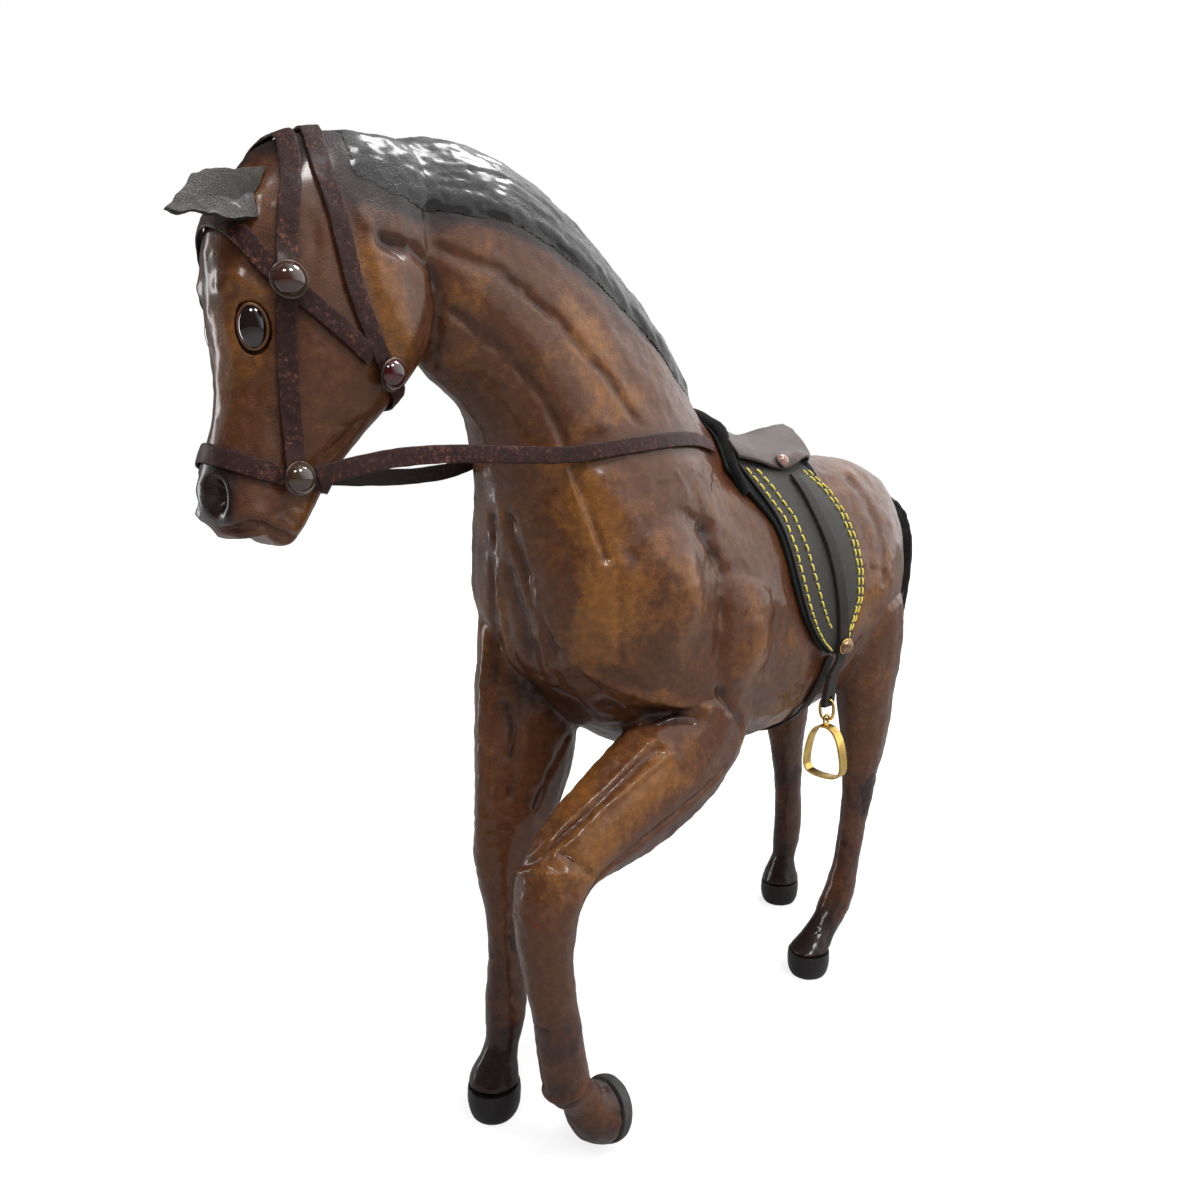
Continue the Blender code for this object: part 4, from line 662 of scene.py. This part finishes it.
# Black leather of the stirrup straps and girth, also given to the far rein as painted shade
BLACK_STRAP_AND_SHADE = leather("stirrup_leather", (0.026, 0.019, 0.017), (0.009, 0.007, 0.007), (0.07, 0.05, 0.043),
    bump=0.4, mottle=0.7, size=2.0, rough_at=0.55, coat=0.05, specular=0.25)
FELT = felt("pad_felt", (0.006, 0.006, 0.006))
BRASS = metal("brass_metal", (0.83, 0.58, 0.16), (0.55, 0.34, 0.1), 0.24)
COPPER = metal("stud_metal", (0.5, 0.32, 0.2), (0.25, 0.15, 0.1), 0.3)
STEEL = metal("wire_steel", (0.5, 0.5, 0.5), (0.35, 0.33, 0.3), 0.4)
GLASS = gem("eye_glass", (0.004, 0.003, 0.003), (0.012, 0.006, 0.005), 0.04)
RUBY = gem("stud_glass", (0.07, 0.003, 0.006), (0.015, 0.002, 0.003), 0.08)
OLIVE = gem("brow_glass", (0.035, 0.026, 0.014), (0.04, 0.008, 0.006), 0.1)
ROSE = gem("rose_glass", (0.3, 0.16, 0.12), (0.12, 0.06, 0.05), 0.12)
THREAD = thread("yellow_thread", (0.5, 0.38, 0.02), (0.85, 0.72, 0.1))
LID = leather("eyelid_leather", (0.12, 0.05, 0.02), (0.03, 0.014, 0.008), (0.2, 0.09, 0.035),
    bump=0.2, rough_at=0.42, coat=0.25)
RIM = metal("stud_rim", (0.14, 0.1, 0.08), (0.05, 0.03, 0.025), 0.35)
CORE = plain_wood("form_core", (0.55, 0.47, 0.36), (0.42, 0.34, 0.25))
DOWEL = plain_wood("dowel_wood", (0.6, 0.42, 0.24), (0.45, 0.3, 0.16))


def dress(item, finish):
    item.data.materials.clear()
    item.data.materials.append(finish)
    item.data.polygons.foreach_set("use_smooth", [True] * len(item.data.polygons))
    item.data.update()


def paint(node, finish):
    """Gives a CAD node that stays in view its procedural material."""
    for slot in frame["nodes"][node].material_slots:
        slot.material = finish


def settle(item, finish, slot, *nodes, body="horse"):
    """Finishes a piece: material, what it replaces and the body it moves with. The slot is not used."""
    if finish:
        dress(item, finish)
    if nodes:
        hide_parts(*nodes)
    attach(item, body)
    return item


# ---------------------------------------------------------------- hide

STRAPS = [
    node
    for node in frame["nodes"]
    if node.startswith(("stud", "rein", "saddle", "stirrup_strap", "flap", "headpiece", "browband"))
    or node in ("throatlatch", "noseband", "girth")
]


def build_hide():
    """The skin: one form made from hides and cores, shaped, toned and cut into its pieces."""
    form = copied("hide", *HIDES, *CORES)
    bake(modify(form, "REMESH", mode="VOXEL", voxel_size=VOXEL, use_smooth_shade=True))
    keep_largest(form)
    bake(modify(form, "SMOOTH", factor=0.5, iterations=SOFTEN))
    mesh = form.data
    points = coordinates(mesh)
    free = clearance(points, STRAPS, *STRAP_REACH)
    eyes = clearance(points, ["eye_left", "eye_right"], *EYE_REACH)
    points += normals(mesh) * (field(points, FORMS) * free * eyes)[:, None]
    place(mesh, points)
    wave = rough(points, 0.006, 4, 2)
    lines = field(points, LINES, wave * 0.0007) * (0.75 + 0.5 * wave) * free * eyes
    lumps = rough(points, 0.011, 1, 2) * 0.0004 + rough(points, 0.0032, 2, 3) * 0.00016
    lift = lines + lumps * free
    points += normals(mesh) * lift[:, None]
    place(mesh, points)
    tone = field(points, STAINS) / MM * 0.9
    # Painted shade in the creases and painted light on the ridges
    tone += np.clip(lines / MM, -1.2, 0) * 0.32 + np.clip(lines / MM, 0, 1) * 0.2
    # Painted shade beside the straps, studs and saddle; the hide also darkens towards the mane
    tone -= (1 - free) * 0.35 + (1 - clearance(points, ["mane"], *MANE_REACH)) * 1.3
    tone += rough(points, 0.02, 3, 3) * 0.35
    # Painted shade in the hollows and a little painted light on the bulges: the skin darkens where it sinks
    # under its evened self
    even = np.stack([smooth_values(mesh, points[:, axis], EVEN_ROUNDS) for axis in range(3)], axis=1)
    sunk = np.sum((even - points) * normals(mesh), axis=1) / HOLLOW_DEPTH
    hollow = smooth_values(mesh, np.clip(sunk, -1, 1), HOLLOW_ROUNDS)
    tone -= np.clip(hollow, -0.25, 1) * 0.45
    store_tone(mesh, np.clip(tone, -1.3, 1.2))
    build_mane(form)
    build_eyes(form)
    bake(modify(form, "DECIMATE", ratio=THIN))
    split_hide(form)


def split_hide(form):
    """Cuts the skin into the pieces it replaces, with shading that runs on over the cuts."""
    mesh = form.data
    trees = [tree_of(frame["nodes"][hide]) for hide in HIDES]
    owner = []
    for face in mesh.polygons:
        away = [tree.find_nearest(face.center)[3] for tree in trees]
        owner.append(away.index(min(away)))
    owner = np.array(owner)
    shade = mesh.attributes.new("shade", "FLOAT_VECTOR", "POINT")
    shade.data.foreach_set("vector", normals(mesh).ravel().astype(np.float32))
    for index, hide in enumerate(HIDES):
        part = add_object(hide.replace("hide", "leather"), mesh.copy())
        with edited(part.data) as work:
            work.faces.ensure_lookup_table()
            gone = [work.faces[spot] for spot in np.nonzero(owner != index)[0]]
            bmesh.ops.delete(work, geom=gone, context="FACES")
        dress(part, HIDE)
        kept = np.empty(len(part.data.vertices) * 3, np.float32)
        part.data.attributes["shade"].data.foreach_get("vector", kept)
        part.data.normals_split_custom_set_from_vertices(kept.reshape(-1, 3).tolist())
        part.data.attributes.remove(part.data.attributes["shade"])
        settle(part, None, "hide_leather", hide)
    bpy.data.objects.remove(form)


def build_cores():
    """The forms under the leather, a little slimmer so that no crease reaches them."""
    for node in CORES:
        item = copied(node.replace("core", "form"), node)
        place(item.data, coordinates(item.data) - normals(item.data) * CORE_DRAW)
        settle(item, CORE, "form_core", node)


# ---------------------------------------------------------------- hair, eyes and hooves

CREST_MIDDLE = (-18, 206)  # y and z that the crest's curve turns round
MANE_REST = 0.007  # how far off the skin the search for the mane starts
LID_STEPS = 64


def build_mane(form):
    """The mane's outer face, raised off the finished skin and combed along the crest."""
    mesh = form.data
    points, ways = coordinates(mesh), normals(mesh)
    tree = tree_of(frame["nodes"]["mane"])
    low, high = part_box("mane")
    near = np.all((points > np.array(low) - 0.004) & (points < np.array(high) + 0.004), axis=1)
    raised = np.zeros(len(points))
    for index in np.nonzero(near)[0]:
        way = Vector(ways[index])
        hit = tree.ray_cast(Vector(points[index]) + way * MANE_REST, -way, MANE_REST + 0.0005)
        if hit[0] is not None:
            raised[index] = max(MANE_REST - hit[3], 0)
    raised = smooth_values(mesh, raised, MANE_ROUNDS)
    y, z = points[:, 1] / MM - PLACE.y / MM - CREST_MIDDLE[0], points[:, 2] / MM - CREST_MIDDLE[1]
    turn = np.arctan2(y, z) * 100
    combed = np.stack([points[:, 0] / MM, np.hypot(y, z), turn / 13], axis=1)
    spots = np.nonzero(raised > 0.0001)[0]
    raised[spots] *= 0.3 + 0.7 * np.clip((y[spots] + CREST_MIDDLE[0] + 44) / 22, 0, 1)
    strand = np.zeros(len(points))
    strand[spots] = rough(combed[spots] / (3.0, 3.0, 1), 1.0, 11, 4)
    kept = raised + 0.0001 * strand > 0.0003
    lift = raised - 0.00026 + 0.0005 * strand * np.clip(raised / 0.001, 0, 1)
    # Painted shade: the mane is darker in the grooves between its strands
    tone = np.clip(strand, -1, 0) * 0.5
    work = bmesh.new()
    work.from_mesh(mesh)
    work.verts.ensure_lookup_table()
    gone = [vertex for vertex, stay in zip(work.verts, kept) if not stay]
    for index in np.nonzero(kept)[0]:
        work.verts[index].co += Vector(ways[index]) * float(max(lift[index], 0.00007))
    bmesh.ops.delete(work, geom=gone, context="VERTS")
    store = work.verts.layers.float["tone"]
    for vertex, value in zip(work.verts, tone[kept]):
        vertex[store] = value
    flat = bpy.data.meshes.new("mane_hair")
    work.to_mesh(flat)
    work.free()
    settle(add_object("mane_hair", flat), HAIR, "hair_leather", "mane")


def build_tail():
    item = softened("tail_hair", "tail", 0, 3)
    points = coordinates(item.data)
    strand = rough(points / MM / (1.7, 1.7, 24), 1.0, 12, 3)
    place(item.data, points + normals(item.data) * (strand * 0.0005 + 0.0001)[:, None])
    # Painted shade in the grooves between the strands, and a little painted light on them
    store_tone(item.data, np.clip(strand, -1, 0.1))
    settle(item, HAIR, "hair_leather", "tail")


def build_eyes(form):
    """Glossy eyes, with a leather lid that follows the skin round each."""
    skin = tree_of(form)
    for label, side in SIDES:
        low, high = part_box("eye_" + label)
        middle = (low + high) / 2
        facing = Vector((side * EYE_FACING[0], EYE_FACING[1], EYE_FACING[2])).normalized()
        across = facing.cross(Vector((0, 0, 1))).normalized()
        up = across.cross(facing)
        item = softened("eyeball_" + label, "eye_" + label, 0, 3)
        for vertex in item.data.vertices:
            away = vertex.co - middle
            vertex.co = middle + across * away.dot(across) * 0.95 + up * away.dot(up) * 0.95
            vertex.co += facing * away.dot(facing) * 0.9
        settle(item, GLASS, "eye_glass", "eye_" + label)
        ring = []
        for step in range(LID_STEPS):
            turn = math.tau * step / LID_STEPS
            spread = across * math.cos(turn) * EYE_SIZE[0] * MM + up * math.sin(turn) * EYE_SIZE[1] * MM
            hit = skin.ray_cast(middle + spread * 1.25 + facing * 0.012, -facing, 0.02)
            ring.append(middle + spread * 0.93 + facing * ((hit[0] - middle).dot(facing) - 0.0001))
        ring = [
            sum((ring[(spot + shift) % LID_STEPS] for shift in range(-2, 3)), Vector()) / 5
            for spot in range(LID_STEPS)
        ]
        settle(tube("eyelid_" + label, [ring], 0.36 * MM, closed=True), LID, "hide_leather")


def build_ears():
    for label, _ in SIDES:
        item = softened("ear_leaf_" + label, "ear_" + label, 0, 1, plain=4)
        points = coordinates(item.data)
        bend = rough(points, 0.0085, 21, 3) * 0.0014 + rough(points, 0.0025, 22, 2) * 0.00025
        place(item.data, points + np.array((0, 0, 1)) * bend[:, None])
        settle(item, EAR, "ear_leather", "ear_" + label)


def build_hooves():
    for leg in LEGS:
        item = softened("hoof_shell_" + leg, "hoof_" + leg, 0.2, 2)
        roughen(item, coordinates(item.data), 0.004, 31, 3, 0.00012)
        settle(item, SOLE if leg == "front_left" else HOOF, "hoof_finish", "hoof_" + leg)


# ---------------------------------------------------------------- tack

SEATED_AXIS = 168  # height of the trunk line that the saddle's angles turn round
# Rows of stitches on the flap: angle from the top, y
STITCH_ROWS = [
    [(27, 87.5), (33, 92), (45, 100.6), (60, 102.2), (75, 103.8), (90, 107.4), (102, 113.4), (110, 119.4),
     (116.5, 127)],
    [(27, 94), (33, 99), (45, 107), (60, 109.5), (75, 112), (90, 116), (100, 121), (107, 126)],
    [(24, 132.4), (33, 138.4), (45, 142.4), (60, 144.8), (75, 145.8), (90, 145.3), (102, 141.9), (112, 137),
     (117, 134)],
    [(24, 128.5), (33, 134.5), (45, 138.5), (60, 140.8), (75, 141.8), (90, 141.3), (100, 138.8),
     (108, 135.4)],
]
STITCH_PITCH, STITCH_LENGTH, THREAD_RADIUS = 3.7, 2.5, 0.38
ROW_STEPS = 12  # points between two of a row's entries
ROLL_STEPS = 32
ROLL_FRONT = ((0, 13, 26, 33), (86.5, 83.5, 78.2, 85))  # angle from the top and y of the felt roll
PAD_FRONT = ((30, 33, 45, 60, 75, 90, 102, 112), (82, 85, 95.5, 97, 98.5, 102, 108, 116.5))


def cast_in(tree, turn, y, reach, side=1):
    """The way out from the saddle's axis, and where a ray in along it meets the tree."""
    way = Vector((side * math.sin(turn), 0, math.cos(turn)))
    return way, tree.ray_cast(world(0, y, SEATED_AXIS) + way * reach, -way, reach)[0]


def round_saddle(points):
    """Each point's offset from the saddle's axis, angle from the top, and y in the horse's frame."""
    out = points - np.array(world(0, 0, SEATED_AXIS))
    return out, np.degrees(np.arctan2(np.abs(out[:, 0]), out[:, 2])), (points[:, 1] - PLACE.y) / MM


def build_pad_roll():
    """The thick felt edge that shows before the seat."""
    skin = tree_of(frame["nodes"]["saddle_pad"])
    spots = []
    for step in range(ROLL_STEPS + 1):
        angle = -32 + 64 * step / ROLL_STEPS
        y = float(np.interp(abs(angle), *ROLL_FRONT))
        way, hit = cast_in(skin, math.radians(angle), y + 2, 0.09)
        if hit is not None:
            spots.append(hit + way * (0.0011 - 0.0028 * max(abs(angle) - 25, 0) / 7))
    item = tube("pad_edge", [spots], 0.0019, sides=5)
    roughen(item, coordinates(item.data), 0.0013, 52, 3, 0.0003)
    return settle(item, FELT, "pad_felt")


def build_stitching():
    for label, side in SIDES:
        tree = tree_of(frame["nodes"]["saddle_flap_" + label])
        threads = []
        for row in STITCH_ROWS:
            spots = []
            for (angle, y), (next_angle, next_y) in zip(row[:-1], row[1:]):
                for step in range(ROW_STEPS):
                    share = step / ROW_STEPS
                    turn = math.radians(angle + (next_angle - angle) * share)
                    hit = cast_in(tree, turn, y + (next_y - y) * share, 0.07, side)[1]
                    if hit is not None:
                        spots.append(hit)
            spots = np.array(spots)
            run = np.append(0, np.cumsum(np.linalg.norm(np.diff(spots, axis=0), axis=1)))
            for start in np.arange(0, run[-1] - STITCH_LENGTH * MM, STITCH_PITCH * MM):
                ends = []
                for share in (0, 0.12, 0.5, 0.88, 1):
                    at = start + share * STITCH_LENGTH * MM
                    spot = Vector([float(np.interp(at, run, spots[:, axis])) for axis in range(3)])
                    way = Vector((spot.x, 0, spot.z - SEATED_AXIS * MM)).normalized()
                    near = tree.find_nearest(spot)
                    ends.append(near[0] + way * (0.3 if 0 < share < 1 else -0.15) * MM)
                threads.append(ends)
        item = tube("stitching_" + label, threads, THREAD_RADIUS * MM, sides=1)
        settle(item, THREAD, "flap_leather")


def build_stud(node, glass, setting, slot):
    """A domed glass stud in its ring, on the axis of the plain stud."""
    spots = coordinates(frame["nodes"][node].data)
    middle = Vector((spots.min(0) + spots.max(0)) / 2)
    side = node.split("_")[-1]
    grounds = ["head_hide", "body_hide", "saddle_seat", "saddle_flap_" + side, "stirrup_strap_" + side]
    near = [tree_of(frame["nodes"][name]).find_nearest(middle) for name in grounds]
    way = min(near, key=lambda found: found[3])[1]
    along = (spots - np.array(middle)) @ np.array(way)
    apart = np.linalg.norm(spots - np.array(middle) - along[:, None] * np.array(way), axis=1)
    radius, tall = float(apart.max()), float(along.max() - along.min())
    foot = Matrix.Translation(middle + way * float(along.min()))
    turned = foot @ way.to_track_quat("Z", "Y").to_matrix().to_4x4()
    bpy.ops.object.select_all(action="DESELECT")
    bpy.ops.mesh.primitive_uv_sphere_add(segments=28, ring_count=16, radius=1)
    dome = bpy.context.object
    bpy.ops.object.mode_set(mode="EDIT")
    bpy.ops.mesh.select_all(action="SELECT")
    bpy.ops.mesh.bisect(plane_co=(0, 0, 0), plane_no=(0, 0, 1), use_fill=True, clear_inner=True)
    bpy.ops.object.mode_set(mode="OBJECT")
    bpy.ops.object.select_all(action="DESELECT")
    rim = radius * 0.1
    bpy.ops.mesh.primitive_torus_add(
        major_radius=radius * 0.9, minor_radius=rim, major_segments=36, minor_segments=10
    )
    ring = bpy.context.object
    dome.data.transform(Matrix.Diagonal((radius * 0.87, radius * 0.87, tall - rim, 1)))
    dome.data.transform(Matrix.Translation((0, 0, rim)))
    ring.data.transform(Matrix.Translation((0, 0, radius * 0.15)))
    work = bmesh.new()
    for index, item in enumerate((dome, ring)):
        start = len(work.faces)
        work.from_mesh(item.data)
        work.faces.ensure_lookup_table()
        for face in work.faces[start:]:
            face.material_index = index
            face.smooth = True
        bpy.data.objects.remove(item)
    mesh = bpy.data.meshes.new(node + "_dome")
    work.to_mesh(mesh)
    work.free()
    mesh.transform(turned)
    mesh.materials.append(glass)
    mesh.materials.append(setting)
    settle(add_object(node.replace("stud", "jewel").replace("rivet", "cap"), mesh), None, slot, node)


def lengthen(item, reach, stretch):
    """Draws the browband's two ends on over the cheek, at their height above the skin."""
    skin = tree_of(frame["nodes"]["head_hide"])
    points = coordinates(item.data)
    for side in (1, -1):
        brow = np.array(sum((Vector(corner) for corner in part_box("stud_brow_left")), Vector()) / 2)
        brow[0] *= side
        ours = points[:, 0] * side > 0
        behind = ours & (points[:, 1] > brow[1])
        away = np.linalg.norm(points - brow, axis=1) * behind
        tip = points[away > away.max() - 0.001].mean(0)
        way = (tip - brow) / np.linalg.norm(tip - brow)
        share = np.clip(1 - (tip - points) @ way / reach, 0, 1) * behind
        for index in np.nonzero(share)[0]:
            old = skin.find_nearest(Vector(points[index]))
            new = skin.find_nearest(Vector(points[index] + way * stretch * share[index]))
            points[index] = new[0] + new[1] * (Vector(points[index]) - old[0]).dot(old[1])
    place(item.data, points)


def build_straps():
    for node in ("headpiece", "browband", "throatlatch", "noseband", "rein_left", "rein_right"):
        item = softened(node + "_strip", node, 0.35, 2)
        if node == "browband":
            lengthen(item, 0.012, 0.0065)
        roughen(item, coordinates(item.data), 0.003, 41, 3, 0.00018)
        # The far rein takes the black strap leather as painted shade
        settle(item, BLACK_STRAP_AND_SHADE if node == "rein_right" else STRAP, "bridle_leather", node)
    for node in ("stirrup_strap_left", "stirrup_strap_right", "girth"):
        settle(softened(node + "_strip", node, 0.35, 2), BLACK_STRAP_AND_SHADE, "stirrup_leather", node)
    for label, _ in SIDES:
        flap = "saddle_flap_" + label
        settle(softened("flap_panel_" + label, flap, 0.3, 2), GREY, "flap_leather", flap)
        for node in ("jump_ring_" + label, "stirrup_" + label):
            settle(softened(node + "_brass", node, 0.15, 2), BRASS, "brass_metal", node, body=node)


def build_pad():
    """The felt, with its front margin drawn back to show evenly along the flap."""
    item = softened("pad_sheet", "saddle_pad", 0.3, 3)
    points = coordinates(item.data)
    _, angle, y = round_saddle(points)
    margin = np.clip(1 - (y - np.interp(angle, *PAD_FRONT)) / 9, 0, 1)
    points[:, 1] += 0.0017 * margin * np.clip((angle - 26) / 6, 0, 1) * np.clip((112 - angle) / 8, 0, 1)
    roughen(item, points, 0.0012, 51, 3, 0.0002)
    settle(item, FELT, "pad_felt", "saddle_pad")
    build_pad_roll()


def build_seat():
    """The seat, with its front corners drawn forward and a wave in its hem."""
    item = softened("seat_cover", "saddle_seat", 0.35, 3)
    points = coordinates(item.data)
    out, angle, y = round_saddle(points)
    corner = np.clip((angle - 6) / 16, 0, 1) * np.clip((106 - y) / 16, 0, 1)
    way = np.stack([out[:, 0], np.zeros(len(out)), out[:, 2]], axis=1)
    way /= np.linalg.norm(way, axis=1)[:, None]
    points += corner[:, None] * (np.array((0, -0.0062, 0)) + way * 0.0009)
    hem = np.clip((angle - 17) / 8, 0, 1)
    wave = np.sin((y - 86) / 62 * math.tau * 1.5 + 0.6)
    points += way * (hem * (0.0009 + 0.0008 * wave))[:, None]
    place(item.data, points)
    roughen(item, points, 0.009, 61, 2, 0.0003)
    settle(item, TAUPE, "seat_leather", "saddle_seat")


# ---------------------------------------------------------------- view

# Area lamps: name, place in metres, size, power
LAMPS = (
    ("key", (0.55, -0.15, 1.05), (0.22, 0.2), 5),
    ("front", (0.3, -0.6, 0.9), (0.2, 0.16), 2.2),
    ("side", (-0.8, -0.55, 0.3), (0.2, 0.7), 3),
    ("top", (0.0, 0.4, 1.05), (0.35, 0.3), 5),
)
LAMP_AIM = Vector((0, 0, 0.17))


def build_view():
    scene = bpy.context.scene
    turn, dip = math.radians(45), math.radians(9)
    level = Vector((-math.sin(turn), math.cos(turn), 0))
    ahead = level * math.cos(dip) - Vector((0, 0, math.sin(dip)))
    camera = add_object("camera", bpy.data.cameras.new("camera"))
    camera.location = world(216.13, -174.84, 222.29)
    camera.rotation_euler = ahead.to_track_quat("-Z", "Y").to_euler()
    camera.data.lens = 27.6
    camera.data.sensor_width = 36
    camera.data.clip_start = 0.01
    scene.camera = camera
    scene.view_settings.view_transform = "Standard"
    build_floor()
    build_sky(scene)
    for name, spot, size, power in LAMPS:
        lamp = bpy.data.lights.new(name, "AREA")
        lamp.shape = "RECTANGLE"
        lamp.size, lamp.size_y = size
        lamp.energy = power
        item = add_object(name, lamp)
        item.location = spot
        item.rotation_euler = (LAMP_AIM - Vector(spot)).to_track_quat("-Z", "Y").to_euler()


def build_floor():
    """A white ground that takes a faint shadow near the hooves."""
    mesh = bpy.data.meshes.new("floor")
    mesh.from_pydata([(-4, -4, 0), (4, -4, 0), (4, 4, 0), (-4, 4, 0)], [], [(0, 1, 2, 3)])
    floor = add_object("floor", mesh)
    floor.location.z = -0.0004
    finish, web, shader = surface("floor_finish", 0.9, specular=0.1)
    fill(shader, Base_Color=(0.34, 0.34, 0.34, 1), Emission_Color=(1, 1, 1, 1))
    rays = web.node("ShaderNodeLightPath").outputs
    reach = web.node("ShaderNodeVectorMath", operation="LENGTH")
    web.link(web.coords(), reach.inputs[0])
    fade = web.ramp(reach.outputs["Value"], 0.12, 0.45, 0.76, 1.0)
    web.link(web.math("MULTIPLY", rays["Is Camera Ray"], fade), shader.inputs["Emission Strength"])
    floor.data.materials.append(finish)


def build_sky(scene):
    """White to the camera. The object is lit from two sides, one for gloss and one for the rest."""
    sky = bpy.data.worlds.new("studio")
    scene.world = sky
    sky.use_nodes = True
    web = Web(sky.node_tree)
    back = sky.node_tree.nodes["Background"]
    rays = web.node("ShaderNodeLightPath").outputs
    seen = web.math("MAXIMUM", rays["Is Camera Ray"], rays["Is Transmission Ray"])
    around = web.coords("Generated")
    sides = []
    for axis in ((0.35, 0.8, 0.48), (0.85, 0.25, 0.46)):
        side = web.node("ShaderNodeVectorMath", operation="DOT_PRODUCT")
        side.inputs[1].default_value = axis
        web.link(around, side.inputs[0])
        sides.append(side.outputs["Value"])
    glossy = rays["Is Glossy Ray"]
    shine = web.math("MULTIPLY", web.ramp(sides[0], 0.15, 0.95, 0.05, 1.5), glossy)
    plain = web.ramp(sides[1], -0.05, 1.0, 0.1, 1.7)
    plain = web.math("MULTIPLY", web.math("SUBTRACT", 1.0, glossy), plain)
    dim = web.math("MULTIPLY", web.math("ADD", plain, shine), web.math("SUBTRACT", 1.0, seen))
    web.link(web.math("ADD", dim, seen), back.inputs["Strength"])
    fill(back, Color=(1, 1, 1, 1))


# Studs and rivets: name, dome, ring, slot
STUDS = (
    ("stud_brow_", OLIVE, RIM, "stud_glass"),
    ("stud_throat_", RUBY, RIM, "stud_glass"),
    ("stud_bit_", OLIVE, RIM, "stud_glass"),
    ("saddle_stud_", ROSE, RIM, "brass_metal"),
    ("flap_rivet_", COPPER, BRASS, "brass_metal"),
)

build_view()
build_hide()
build_cores()
build_tail()
build_ears()
build_hooves()
build_straps()
build_pad()
build_seat()
build_stitching()
for label, _ in SIDES:
    for start, dome, ring, slot in STUDS:
        build_stud(start + label, dome, ring, slot)
paint("neck_dowel", DOWEL)
for leg in LEGS:
    paint("leg_pin_" + leg, STEEL)
